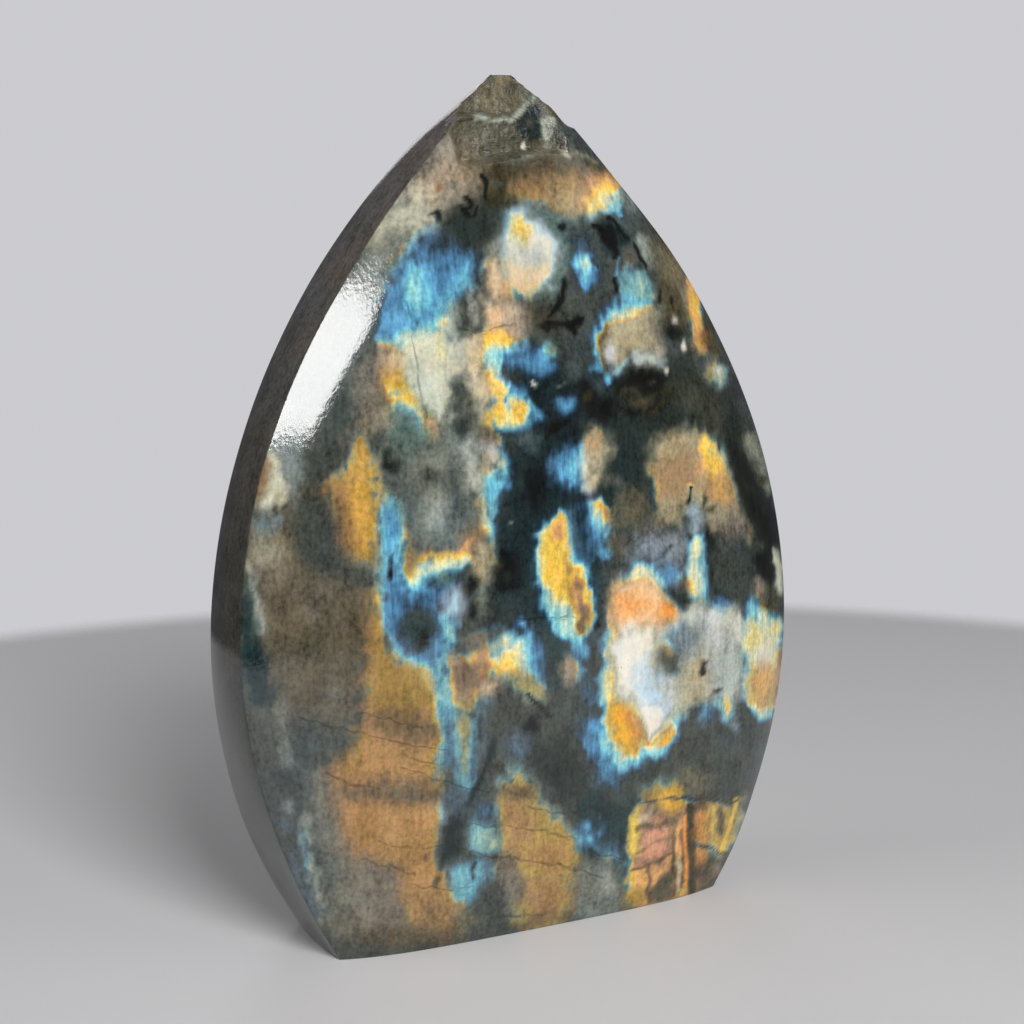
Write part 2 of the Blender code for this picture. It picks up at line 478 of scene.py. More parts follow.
GROUND = [
    # the whole face, from the tip down
    area("olive", 16, (440, 60), (620, 60), (640, 180), (560, 190), (430, 180)),
    area("slate", 20, (560, 190), (660, 200), (740, 330), (770, 440), (700, 440), (640, 330), (560, 300)),
    area("pinkish", 18, (455, 135), (470, 165), (462, 200), (430, 222), (380, 240), (400, 190), (430, 150)),
    area("cream_stone", 14, (400, 190), (425, 200), (435, 215), (415, 232), (372, 252), (360, 240)),
    area("stone", 14, (400, 225), (418, 232), (400, 262), (370, 300), (340, 290), (360, 250)),
    area("stone", 16, (375, 420), (480, 400), (490, 520), (470, 560), (400, 560), (395, 480)),
    area("taupe", 18, (262, 500), (330, 500), (350, 580), (375, 600), (368, 720), (300, 760), (240, 720),
         (225, 560)),
    area("slate", 18, (262, 690), (330, 720), (350, 770), (345, 900), (330, 960), (255, 780)),
    area("mauve", 18, (320, 770), (350, 780), (400, 860), (400, 925), (350, 925), (320, 840)),
    area("ink", 16, (500, 360), (600, 350), (645, 390), (655, 500), (612, 500), (560, 640), (500, 690),
         (490, 560), (512, 440)),
    area("charcoal", 16, (590, 380), (700, 350), (760, 400), (790, 560), (700, 600), (640, 480), (600, 470)),
    area("stone", 14, (575, 850), (625, 850), (625, 925), (560, 925)),
]

TIP = [
    area("moss", 5, (494, 72), (512, 74), (532, 96), (520, 108), (498, 118), (466, 112)),
    area("umber", 4, (508, 80), (518, 84), (520, 100), (512, 108), (506, 96), cover=0.8),
    area("umber", 3, (482, 88), (490, 86), (490, 96), (482, 100), cover=0.5),
    line("pale_green", 3, 5, (476, 117), (495, 121), (512, 118), (522, 110), (534, 98)),
    line("umber", 2, 2, (464, 120), (476, 121), (495, 125), (506, 121), (514, 122), cover=0.8),
    area("ink", 2, (528, 109), (536, 103), (540, 116), (541, 141), (528, 142), (520, 136), (515, 125),
         (520, 116)),
    area("taupe", 3, (528, 118), (534, 120), (532, 128), (527, 126), cover=0.7),
    area("pale_green", 2, (541, 122), (548, 118), (556, 118), (553, 131), (547, 141), (541, 141)),
    area("umber", 3, (488, 162), (512, 166), (536, 158), (552, 150), (556, 172), (520, 186), (494, 180)),
    # painted glint along the right rim of the break
    area("cream_stone", 3, (560, 150), (570, 152), (572, 158), (562, 157), cover=0.6),
    area("slate", 3, (557, 114), (570, 121), (586, 135), (601, 150), (598, 158), (578, 152), (562, 141)),
    line("pale_grey", 3, 3, (563, 153), (580, 155), (597, 161), cover=0.45),
    # painted glint: a small white point of light on a broken facet of the tip
    spot("white", 1.5, (522.5, 147), (2.5, 4.5)),
    line("pale_green", 2.5, 3, (522, 159), (538, 151), (552, 143), cover=0.6),
]

SHOULDER = [
    spot("brown", 3, (440, 189), (5, 3)),
    spot("umber", 3, (433, 200), (6, 3), cover=0.5),
    area("olive_dark", 6, (484, 188), (512, 186), (518, 202), (506, 216), (486, 214)),
    line("umber", 3, 4, (457, 203), (457, 216), (452, 232), cover=0.6),
    line("umber", 3, 4, (447, 212), (449, 220), (444, 228), cover=0.5),
]

PEARL = [
    area("teal_grey", 6, (510, 205), (520, 203), (560, 215), (575, 255), (566, 290), (540, 302), (508, 300),
         (496, 270), (494, 235)),
    area("pearl", 6, (516, 210), (527, 214), (545, 229), (553, 240), (559, 252), (554, 272), (545, 287),
         (532, 292), (514, 286), (503, 262), (502, 238), (510, 216)),
    area("peach_pearl", 8, (508, 258), (546, 262), (548, 284), (532, 291), (514, 285), (506, 270)),
    area("yellow", 7, (508, 216), (522, 214), (530, 230), (528, 242), (514, 240), (506, 230)),
    area("gold", 5, (519, 222), (530, 226), (529, 238), (521, 240)),
    area("orange", 4, (519, 236), (529, 234), (526, 249), (521, 248), cover=0.8),
    area("lilac_white", 10, (506, 244), (530, 244), (548, 250), (544, 268), (522, 272), (510, 264),
         cover=0.8),
    area("brass", 6, (518, 286), (548, 286), (538, 296), (526, 296), cover=0.6),
]

BAND = [
    area("brown", 8, (515, 190), (535, 178), (565, 172), (600, 170), (620, 180), (632, 200), (600, 216),
         (570, 216), (550, 212), (530, 204)),
    area("old_copper", 8, (515, 186), (545, 180), (570, 186), (565, 212), (548, 210), (522, 202)),
    area("orange", 7, (582, 182), (612, 172), (624, 186), (612, 200), (596, 204), (584, 196)),
    area("faint_sky", 6, (602, 206), (618, 202), (624, 214), (604, 220)),
    spot("blue", 3, (622, 215), (4, 4)),
    area("steel", 5, (618, 186), (634, 196), (636, 212), (626, 208)),
    area("lilac_grey", 6, (524, 200), (536, 200), (548, 212), (546, 220), (530, 212)),
    line("teal_grey", 6, 6, (532, 210), (548, 222), (560, 220), (598, 218)),
    area("ink", 4, (594, 224), (606, 220), (618, 224), (632, 240), (622, 248), (618, 262), (606, 252),
         (602, 236)),
    area("pale_grey", 5, (634, 238), (644, 236), (654, 256), (656, 268), (648, 266), (640, 252)),
    area("taupe", 4, (622, 252), (633, 248), (638, 262), (626, 266)),
    line("faint_sky", 3, 4, (619, 256), (617, 268), (618, 278)),
    area("beige", 8, (548, 184), (572, 176), (588, 176), (590, 206), (572, 214), (552, 210), cover=0.6),
    area("cream", 7, (582, 196), (600, 188), (614, 192), (612, 206), (598, 212), (584, 214)),
    line("aqua", 5, 5, (616, 196), (620, 206), (612, 212)),
]

RIGHT_RIM = [
    area("olive", 6, (650, 214), (664, 232), (690, 280), (686, 330), (668, 326), (658, 290), (652, 250)),
    area("moss", 6, (656, 246), (680, 262), (694, 282), (688, 300), (670, 290)),
    line("beige", 3, 3, (668, 246), (682, 266), cover=0.6),
    line("pale_green", 4, 3, (684, 290), (688, 318), (694, 338), (700, 355), cover=0.6),
    area("orange", 3, (685, 276), (692, 282), (700, 293), (701, 322), (709, 352), (701, 356), (695, 340),
         (688, 316), (687, 296)),
    area("gold", 4, (690, 292), (699, 296), (699, 316), (690, 316)),
    area("olive_dark", 5, (703, 296), (712, 308), (722, 335), (712, 336), (704, 322)),
    area("white", 4, (717, 366), (722, 365), (724, 378), (718, 376)),
    area("stone", 5, (703, 352), (716, 360), (716, 380), (706, 384), (702, 370)),
    area("slate", 6, (738, 396), (752, 404), (762, 440), (748, 440)),
    area("umber", 4, (704, 318), (714, 334), (720, 356), (708, 352), (702, 336)),
    area("faint_mint", 5, (712, 362), (724, 364), (728, 380), (718, 388), (708, 376)),
    spot("white", 3, (719, 372), (3, 7), cover=0.8),
]

ARCH = [
    area("slate", 6, (570, 260), (596, 300), (596, 340), (590, 380), (560, 380), (560, 300)),
    area("royal", 7, (574, 250), (592, 252), (598, 270), (594, 292), (578, 292), (572, 270)),
    area("sky", 5, (578, 254), (590, 256), (594, 270), (588, 284), (578, 282), (575, 268)),
    area("faint_aqua", 7, (618, 270), (640, 268), (652, 290), (652, 306), (620, 306)),
    area("faint_mint", 5, (636, 270), (644, 276), (650, 296), (644, 306), (638, 290)),
    area("blue", 7, (594, 372), (590, 350), (592, 330), (598, 312), (610, 302), (630, 298), (650, 300),
         (648, 316), (612, 322), (604, 340), (602, 372)),
    area("beige", 6, (606, 322), (622, 312), (652, 306), (664, 314), (660, 340), (664, 352), (640, 354),
         (622, 362), (612, 366), (606, 350)),
    area("cream", 4, (606, 318), (622, 310), (640, 312), (640, 316), (614, 322)),
    spot("lilac_white", 4, (609, 354), (5, 10)),
    area("pale_grey", 4, (632, 354), (648, 350), (662, 354), (664, 364), (650, 368), (634, 366)),
    area("cream", 4, (612, 368), (624, 358), (630, 360), (622, 372), (614, 374)),
    area("sky", 3, (603, 376), (612, 374), (613, 386), (607, 386)),
    area("ink", 6, (658, 318), (684, 322), (684, 340), (668, 336), (656, 330)),
    area("black", 5, (624, 372), (640, 366), (658, 370), (668, 384), (660, 390), (634, 388), (624, 382)),
    line("black", 3, 4, (628, 410), (646, 412), (664, 402), (670, 392)),
    area("lilac_grey", 8, (596, 378), (606, 386), (604, 400), (594, 392), cover=0.4),
    line("aqua", 7, 5, (596, 368), (598, 344), (606, 320), (622, 307), (646, 301), cover=0.7),
    line("umber", 4, 4, (606, 326), (602, 342), (602, 358), (608, 368)),
    area("mauve", 7, (650, 316), (664, 322), (668, 340), (656, 344), (646, 332), cover=0.8),
    spot("black", 3, (646, 394), (8, 5)),
    area("umber", 6, (656, 286), (676, 284), (692, 320), (686, 340), (664, 332), cover=0.6),
    area("black", 4, (664, 330), (676, 326), (684, 336), (672, 342), cover=0.8),
    line("black", 2, 3, (660, 290), (660, 302), cover=0.8),
    spot("black", 2, (672, 301), (2.5, 4), cover=0.8),
    spot("white", 2, (684, 345), (2.5, 5), cover=0.9),
    spot("warm_white", 2, (675, 321), (2, 4), cover=0.8),
    spot("taupe", 2.5, (634, 392), (5, 3), turn=30, cover=0.8),
    spot("moss", 2.5, (652, 382), (4, 3), cover=0.7),
    spot("taupe", 2.5, (644, 402), (5, 2.5), cover=0.7),
    area("black", 5, (612, 384), (628, 376), (664, 380), (668, 398), (660, 414), (630, 412), cover=0.6),
    line("olive", 4, 6, (622, 395), (629, 387), (636, 392), (643, 400), cover=0.5),
    line("olive", 4, 6, (652, 398), (660, 394), (665, 385), cover=0.5),
    line("moss", 4, 6, (630, 403), (641, 405), cover=0.5),
    line("olive_dark", 2.5, 6, (652, 413), (664, 404), (669, 390), cover=0.8),
    line("taupe", 3.5, 4, (643, 411), (652, 406), cover=0.4),
    line("pale_blue", 3.5, 5, (612, 369), (622, 363), (634, 356), (648, 362), (662, 363), cover=0.5),
    # painted glint: a small white point of light
    spot("white", 1.5, (667, 369), (2, 3), cover=0.8),
    area("olive", 8, (674, 388), (700, 380), (714, 398), (724, 430), (714, 440), (698, 420),
         (682, 408), cover=0.5),
]

BLUE_PATCH = [
    area("royal", 9, (414, 236), (440, 226), (480, 242), (482, 262), (468, 300), (440, 318), (398, 300),
         (400, 262)),
    area("blue", 7, (398, 262), (430, 262), (446, 284), (474, 250), (476, 268), (462, 296), (444, 320),
         (436, 340), (390, 344), (376, 330), (384, 290)),
    area("aqua", 8, (406, 268), (416, 266), (424, 284), (430, 306), (418, 320), (408, 310), (404, 286)),
    area("blue", 6, (376, 306), (390, 292), (400, 300), (396, 334), (378, 336)),
    area("faint_sky", 6, (452, 296), (466, 276), (476, 262), (474, 284), (464, 300)),
    area("pale_green", 8, (444, 306), (460, 300), (468, 312), (456, 332), (446, 344), (438, 330)),
    area("pale_grey", 8, (440, 330), (456, 340), (470, 336), (470, 372), (450, 384), (440, 364)),
    area("sky", 7, (470, 252), (478, 250), (474, 270), (456, 296), (440, 324), (432, 330), (436, 306),
         (456, 276), cover=0.8),
    line("ink", 4, 5, (478, 250), (476, 274), (481, 290), (476, 300), cover=0.7),
    area("charcoal", 8, (446, 210), (462, 206), (500, 208), (498, 236), (488, 250), (474, 250), (454, 242),
         (442, 228)),
    area("slate", 5, (434, 248), (442, 240), (452, 242), (452, 250), (440, 252), cover=0.8),
    line("black", 2, 4, (482, 174), (486, 182), (485, 198), cover=0.9),
]

UPPER_MIDDLE = [
    area("cream_stone", 8, (402, 342), (436, 330), (446, 350), (446, 392), (428, 404), (416, 380),
         (404, 360)),
    area("charcoal", 6, (462, 296), (480, 296), (482, 326), (464, 332), (460, 316)),
    spot("pale_grey", 4, (473, 304), (3.5, 8)),
    area("steel", 4, (470, 310), (480, 312), (480, 326), (471, 324)),
    area("pale_green", 5, (484, 246), (496, 240), (500, 256), (490, 262), cover=0.7),
    area("peach_stone", 6, (486, 262), (498, 258), (504, 276), (506, 296), (494, 300), (486, 282)),
    area("tan", 6, (500, 276), (514, 284), (518, 302), (506, 304), (500, 292), cover=0.7),
    area("pinkish", 6, (482, 300), (498, 296), (520, 302), (528, 316), (522, 342), (500, 330), (482, 328),
         (480, 312)),
    area("peach_stone", 6, (488, 316), (502, 314), (502, 330), (488, 330), cover=0.8),
    area("pale_grey", 6, (484, 300), (492, 298), (490, 314), (484, 314), cover=0.5),
    area("beige", 6, (470, 332), (500, 330), (500, 346), (478, 352), (470, 346)),
    area("orange", 4, (478, 350), (480, 338), (490, 330), (504, 332), (514, 344), (504, 350), (492, 344),
         (484, 352)),
    area("cream", 4, (480, 348), (490, 342), (508, 346), (524, 344), (526, 352), (506, 356), (486, 362)),
    area("royal", 5, (502, 352), (514, 352), (526, 344), (546, 346), (558, 360), (556, 372), (542, 382),
         (524, 374), (508, 368), (500, 368)),
    area("blue", 6, (504, 354), (522, 350), (530, 356), (524, 366), (506, 366)),
    area("blue", 6, (540, 352), (554, 356), (556, 368), (544, 376), (538, 364)),
    area("faint_green", 6, (544, 340), (556, 342), (562, 358), (552, 358)),
    area("pinkish", 6, (470, 340), (480, 340), (480, 390), (468, 386), (466, 360), cover=0.8),
    area("cream", 6, (482, 366), (494, 364), (502, 378), (504, 402), (484, 396), (478, 380)),
    area("peach_pearl", 6, (490, 376), (500, 382), (504, 400), (494, 400)),
    area("blue", 6, (508, 380), (522, 386), (526, 400), (514, 402)),
    area("yellow", 6, (492, 404), (514, 404), (528, 398), (536, 414), (528, 430), (500, 434), (488, 424)),
    area("cream", 7, (504, 400), (514, 404), (516, 424), (500, 430), (498, 414), cover=0.7),
    area("gold", 5, (492, 406), (502, 404), (500, 420), (492, 418)),
    area("orange", 5, (514, 404), (524, 400), (528, 412), (520, 422), (514, 416), cover=0.9),
    area("sky", 5, (528, 404), (540, 408), (548, 420), (534, 426), (528, 420), cover=0.9),
    area("copper", 5, (484, 410), (494, 416), (494, 430), (484, 430), cover=0.8),
    spot("royal", 4, (567, 405), (9, 9)),
    area("black", 7, (578, 382), (600, 392), (616, 410), (600, 424), (582, 410)),
    area("black", 3, (536, 322), (552, 318), (566, 322), (576, 316), (586, 314), (584, 322), (572, 330),
         (556, 326), (546, 334), (538, 328)),
    area("black", 3, (563, 276), (569, 278), (567, 292), (560, 304), (556, 306), (562, 288)),
    area("cream_stone", 8, (400, 344), (412, 338), (438, 336), (448, 356), (450, 392), (446, 424),
         (430, 414), (414, 390), (404, 366)),
    line("orange", 6, 5, (406, 396), (416, 402), (426, 416), (436, 428), cover=0.8),
    area("cream_stone", 7, (470, 334), (480, 340), (482, 380), (492, 400), (484, 420), (472, 404),
         (468, 366), cover=0.8),
    area("gold", 7, (482, 328), (496, 324), (508, 330), (510, 342), (496, 344), (484, 346)),
    area("aqua", 7, (478, 350), (490, 344), (498, 352), (488, 366), (478, 364)),
    area("cream", 7, (486, 366), (494, 366), (504, 386), (508, 400), (494, 398), (486, 384)),
    area("umber", 8, (520, 300), (556, 306), (560, 330), (530, 334), cover=0.5),
    area("black", 3, (546, 422), (560, 420), (562, 428), (550, 436), (545, 432)),
    line("aqua", 6, 5, (500, 440), (505, 456), (505, 480), cover=0.9),
    line("orange", 5, 4, (494, 438), (499, 452), (499, 474), cover=0.6),
    area("peach_stone", 6, (382, 352), (396, 348), (404, 366), (394, 372), (382, 368), cover=0.7),
    area("bright_peach", 6, (484, 312), (500, 308), (504, 324), (490, 330), cover=0.5),
    line("black", 2.5, 5, (594, 226), (602, 228), (608, 242), (616, 250), (614, 257)),
    area("black", 3, (604, 228), (612, 226), (618, 246), (612, 250), cover=0.9),
    area("stone", 5, (638, 236), (650, 240), (656, 264), (648, 266), (641, 252), cover=0.7),
    line("black", 2, 3, (558, 296), (556, 308), (548, 316)),
    line("black", 2.5, 4, (616, 280), (616, 292), cover=0.9),
    area("faint_blue", 6, (574, 238), (586, 236), (588, 252), (578, 254), cover=0.8),
    line("mint", 6, 8, (398, 342), (414, 340), (428, 334), (438, 322), cover=0.8),
    line("gold", 5, 5, (442, 322), (440, 340), (444, 362), cover=0.8),
    spot("cream", 4, (586, 265), (4, 8), cover=0.9),
    area("royal", 5, (590, 270), (597, 274), (594, 284), (588, 280), cover=0.7),
    line("black", 2, 3.4, (634, 245), (640, 256), (647, 267)),
    line("black", 2, 3.4, (608, 220), (614, 221), (620, 231), (628, 241)),
    area("black", 3, (557, 224), (566, 222), (567, 229), (560, 231), cover=0.8),
    line("black", 2, 3, (570, 325), (576, 333), cover=0.9),
    area("peach_stone", 5, (476, 336), (485, 346), (485, 372), (494, 394), (488, 408), (480, 396),
         (474, 366), cover=0.5),
    line("orange", 4, 6, (489, 374), (497, 386), (502, 402), (499, 414), cover=0.6),
    area("aqua", 4, (482, 352), (492, 347), (500, 352), (496, 362), (486, 364), cover=0.8),
    spot("blue", 4, (566, 405), (10, 9)),
    # painted glints: two small white points of light on the dark stone
    spot("warm_white", 1.5, (534, 384), (4, 2.5), turn=35, cover=0.8),
    line("pale_grey", 1.5, 2.5, (556, 383), (565, 385), cover=0.8),
    spot("olive_dark", 2.5, (588, 396), (5, 8), cover=0.8),
    line("black", 2, 4, (545, 438), (556, 429), (566, 422)),
]

LEFT_MIDDLE = [
    area("mauve", 8, (368, 350), (386, 340), (396, 352), (384, 382), (368, 384)),
    area("orange", 7, (386, 354), (400, 348), (409, 366), (414, 394), (402, 398), (388, 394), (378, 385)),
    area("flame", 5, (390, 356), (400, 350), (408, 370), (412, 394), (394, 392), (380, 385), cover=0.45),
    area("yellow", 5, (382, 384), (400, 386), (414, 398), (426, 424), (420, 431), (408, 413), (394, 404)),
    area("pinkish", 5, (354, 366), (368, 360), (382, 386), (390, 420), (376, 436), (356, 430), (350, 396),
         cover=0.5),
    line("warm_edge", 3, 8, (369, 368), (376, 384), (382, 397), (392, 400)),
    area("faint_mint", 6, (392, 402), (404, 404), (420, 426), (428, 440), (414, 440), (398, 420)),
    area("teal_grey", 8, (392, 412), (414, 414), (424, 440), (410, 462), (392, 448)),
    area("beige", 6, (380, 408), (392, 410), (390, 424), (382, 420), cover=0.6),
    area("slate", 8, (404, 430), (440, 440), (440, 452), (404, 452), cover=0.5),
    area("charcoal", 6, (452, 420), (468, 416), (470, 436), (456, 436)),
    line("black", 2, 4, (270, 507), (278, 509), (286, 506)),
]

GOLD_COLUMN = [
    area("old_gold", 9, (350, 428), (370, 434), (374, 470), (380, 500), (382, 560), (376, 580), (362, 572),
         (348, 556), (340, 520), (330, 500), (326, 480), (346, 470)),
    area("gold", 8, (352, 446), (366, 448), (370, 500), (376, 520), (372, 556), (356, 540), (352, 500),
         cover=0.55),
    area("brown", 7, (334, 496), (346, 500), (352, 560), (338, 556), (332, 530), cover=0.8),
    spot("brown", 4, (325, 490), (8, 5), cover=0.6),
    area("brass", 6, (372, 480), (386, 490), (388, 504), (378, 514)),
    area("slate", 8, (292, 494), (334, 506), (336, 550), (350, 566), (372, 568), (370, 582), (316, 572),
         (292, 550)),
    area("steel", 7, (266, 440), (290, 432), (306, 440), (300, 480), (296, 500), (284, 500), (276, 470)),
    area("cream_stone", 6, (270, 450), (278, 458), (281, 482), (286, 502), (262, 512), (256, 506), (262, 486),
         (266, 466)),
    area("brown", 4, (262, 458), (270, 466), (270, 486), (260, 500), (254, 500), (258, 476)),
    area("pale_grey", 6, (256, 518), (270, 520), (272, 534), (256, 536), cover=0.6),
    area("moss", 8, (254, 536), (286, 530), (288, 560), (258, 566), cover=0.8),
    line("pale_grey", 4, 5, (249, 566), (254, 588), (259, 612), (264, 632)),
    line("teal_grey", 4, 4, (246, 580), (254, 610), (257, 632), cover=0.8),
    line("stone", 5, 6, (280, 708), (284, 730), (282, 750), (290, 762)),
    area("steel", 5, (256, 514), (280, 513), (282, 526), (268, 535), (255, 530)),
    area("flame", 8, (350, 482), (372, 484), (374, 520), (372, 556), (360, 548), (352, 520), cover=0.4),
    # painted reflection: dark surroundings mirrored where the front rounds into the left wall
    area("teal_dark", 5, (238, 596), (250, 588), (255, 640), (242, 644)),
]

ROUGH_LEFT = [
    area("earth", 12, (270, 600), (300, 590), (370, 600), (370, 630), (330, 640), (280, 640), cover=0.4),
    area("mauve", 10, (300, 600), (320, 604), (318, 620), (302, 618)),
    area("olive", 12, (276, 630), (340, 620), (350, 690), (300, 690), (276, 670), cover=0.6),
    area("umber", 8, (284, 692), (310, 694), (304, 712), (286, 708), cover=0.7),
    spot("stone", 4, (336, 692), (8, 8), cover=0.6),
    area("umber", 10, (350, 640), (372, 640), (370, 700), (352, 700), cover=0.5),
    line("stone", 6, 8, (284, 700), (286, 730), (288, 762), cover=0.7),
    # painted reflection: dark surroundings mirrored where the front rounds into the left wall
    area("teal_dark", 6, (238, 640), (262, 640), (270, 690), (268, 712), (250, 700), (240, 670)),
    line("warm_edge", 7, 18, (366, 704), (362, 732), (344, 758), (332, 772), (334, 800), (340, 830),
         (352, 852)),
    area("lilac_grey", 6, (282, 796), (292, 796), (296, 812), (286, 814), cover=0.6),
    area("lilac_grey", 4, (300, 832), (307, 836), (310, 860), (308, 880), (302, 860), cover=0.8),
]

GREY_PATCH = [
    spot("charcoal", 5, (430, 476), (7, 6), cover=0.8),
    area("slate", 8, (440, 470), (470, 468), (466, 524), (446, 520), cover=0.9),
    spot("pale_grey", 10, (435, 510), (10, 12), cover=0.7),
    area("brown", 8, (466, 530), (480, 526), (484, 548), (470, 556), (462, 544)),
    area("black", 4, (382, 452), (386, 450), (390, 464), (398, 462), (392, 472), (382, 470)),
    area("black", 5, (396, 440), (402, 444), (402, 470), (396, 474), cover=0.4),
    line("cream", 4, 4, (478, 476), (480, 494), (484, 514), (487, 532)),
    line("yellow", 3, 3, (482, 496), (486, 512), (488, 524), cover=0.8),
    line("aqua", 4, 3, (488, 490), (492, 510), (492, 540), (490, 566)),
    line("brown", 5, 8, (480, 536), (482, 556), (480, 576), cover=0.7),
    area("mint", 6, (486, 472), (496, 478), (504, 474), (504, 486), (494, 494), (486, 486)),
    area("faint_aqua", 7, (380, 508), (390, 502), (398, 520), (396, 560), (392, 600), (382, 604),
         (380, 560), cover=0.9),
    area("slate", 8, (402, 470), (424, 476), (426, 500), (414, 530), (402, 520), cover=0.6),
    area("copper", 7, (402, 530), (408, 552), (412, 570), (404, 572), (400, 552), cover=0.7),
    line("aqua", 6, 6, (404, 582), (424, 572), (446, 566), (466, 562), cover=0.8),
    area("royal", 7, (396, 586), (440, 584), (438, 604), (412, 612), (396, 606)),
    area("sky", 7, (434, 606), (446, 600), (448, 640), (442, 664), (436, 640), cover=0.8),
    area("black", 3, (468, 574), (478, 578), (474, 584), (468, 582), cover=0.9),
    line("black", 2.5, 4, (470, 600), (472, 614), cover=0.8),
]

CHANNEL = [
    area("sky", 7, (384, 500), (396, 498), (402, 540), (404, 580), (408, 600), (440, 612), (440, 660),
         (420, 664), (396, 650), (386, 620), (382, 570), (380, 530)),
    area("blue", 6, (388, 512), (396, 508), (398, 540), (398, 556), (388, 556), (386, 530), cover=0.9),
    area("royal", 7, (390, 580), (402, 578), (412, 598), (436, 596), (440, 640), (434, 660), (410, 650),
         (394, 640), (388, 610)),
    area("black", 3, (389, 556), (393, 554), (395, 580), (389, 580)),
    area("slate", 8, (404, 604), (430, 606), (438, 630), (438, 652), (420, 648), (402, 636)),
    area("teal_dark", 7, (404, 616), (432, 618), (434, 650), (410, 640), cover=0.8),
    area("black", 4, (418, 634), (428, 632), (430, 646), (424, 648)),
    area("sky", 6, (404, 584), (420, 576), (440, 572), (462, 566), (464, 584), (446, 592), (424, 600),
         (408, 600)),
    area("mint", 5, (404, 590), (410, 572), (422, 560), (470, 556), (470, 566), (440, 574), (420, 582),
         (412, 592)),
    area("cream", 5, (420, 562), (440, 558), (470, 552), (470, 566), (446, 568), (424, 574)),
    line("orange", 4, 4, (418, 560), (430, 555), (440, 557), (456, 554), (466, 546), (472, 540)),
    area("brown", 5, (404, 552), (416, 556), (412, 578), (406, 572), cover=0.6),
    area("teal_dark", 6, (424, 582), (446, 572), (462, 572), (456, 584), (436, 590)),
    area("moss", 5, (438, 574), (456, 572), (450, 584), (438, 582), cover=0.5),
    area("royal", 7, (412, 596), (436, 588), (452, 584), (446, 604), (420, 610)),
    area("blue_pearl", 6, (452, 586), (464, 588), (466, 612), (450, 620), (442, 612), (444, 600)),
    area("mint", 6, (444, 612), (456, 618), (452, 650), (444, 646)),
    area("cream", 5, (448, 622), (456, 624), (453, 640), (447, 636), cover=0.9),
    line("sky", 6, 8, (438, 640), (441, 664), (443, 690), (444, 715), cover=0.9),
    line("faint_aqua", 5, 6, (441, 664), (443, 690), (446, 712)),
    area("faint_aqua", 6, (446, 700), (454, 720), (450, 740), (442, 730), cover=0.7),
    area("mauve", 6, (462, 636), (482, 630), (486, 644), (466, 652)),
    area("black", 4, (466, 582), (472, 572), (484, 582), (472, 592), (467, 598)),
    area("black", 4, (468, 600), (476, 602), (474, 618), (470, 620)),
    area("stone", 6, (474, 584), (486, 584), (488, 612), (478, 612)),
    area("faint_green", 6, (454, 704), (474, 704), (474, 740), (468, 786), (462, 784),
         (458, 744), cover=0.9),
    line("brass", 4, 4, (464, 706), (464, 740), (465, 776), cover=0.8),
    line("faint_sky", 5, 5, (450, 706), (454, 744), (460, 790), cover=0.9),
    line("faint_sky", 5, 5, (480, 706), (476, 740), (470, 780), cover=0.8),
    line("blue_grey", 7, 6, (488, 700), (480, 740), (474, 776), cover=0.6),
    line("ink", 3, 5, (494, 742), (490, 756), (484, 772), (474, 792), (468, 806)),
    area("blue_grey", 7, (450, 790), (464, 796), (462, 814), (446, 812), (444, 798), cover=0.7),
    line("faint_blue", 5, 7, (446, 712), (448, 760), cover=0.7),
]

RIGHT_STRIP = [
    area("pale_grey", 7, (462, 446), (476, 440), (480, 470), (480, 492), (466, 490)),
    area("lilac_white", 6, (480, 442), (498, 440), (500, 456), (494, 462), (484, 458), cover=0.85),
    area("mauve", 5, (476, 424), (498, 432), (496, 444), (478, 440), cover=0.8),
    area("sky", 5, (486, 476), (506, 478), (508, 488), (498, 498), (490, 500), (486, 492)),
    area("beige", 5, (482, 448), (490, 456), (486, 468), (482, 462), cover=0.7),
    area("beige", 6, (476, 540), (490, 540), (492, 560), (486, 584), (476, 584), (474, 560)),
    area("ember", 5, (692, 328), (702, 328), (707, 350), (698, 352), cover=0.5),
    area("cream", 5, (692, 540), (702, 540), (707, 560), (706, 590), (692, 592), (688, 566)),
    line("black", 3, 6, (706, 510), (710, 530), (713, 544), (717, 554), (714, 568), (711, 580)),
    line("beige", 4, 5, (747, 520), (750, 542), cover=0.7),
    line("warm_white", 3, 6, (775, 546), (778, 562), (778, 580), cover=0.8),
]

DEEP_CENTRE = [
    area("black", 8, (506, 556), (520, 560), (520, 588), (504, 590)),
    area("black", 8, (526, 470), (540, 476), (544, 500), (530, 500), cover=0.8),
    area("steel", 7, (510, 438), (530, 430), (540, 440), (524, 448), cover=0.6),
    area("black", 4, (528, 480), (532, 476), (536, 500), (540, 516), (530, 508)),
    area("slate", 10, (540, 556), (530, 600), (546, 620), (530, 640), (500, 620), (516, 590), cover=0.6),
    area("taupe", 6, (608, 532), (622, 534), (626, 552), (614, 560), (606, 548), cover=0.7),
    spot("black", 2.5, (596, 622), (5, 8)),
    area("black", 4, (494, 560), (504, 552), (516, 566), (516, 586), (500, 588), (492, 574), cover=0.7),
    spot("umber", 3, (498, 566), (4, 5), cover=0.7),
    spot("charcoal", 3, (508, 578), (4, 5), cover=0.8),
    spot("stone", 1.5, (511, 523), (2, 2), cover=0.8),
    spot("black", 2, (474, 586), (6, 3)),
    line("black", 2, 3.5, (470, 592), (468, 606), (472, 617)),
    line("black", 2, 4, (452, 632), (456, 639), (450, 645)),
    line("black", 2, 4, (512, 628), (520, 624), (528, 630), (520, 634)),
]

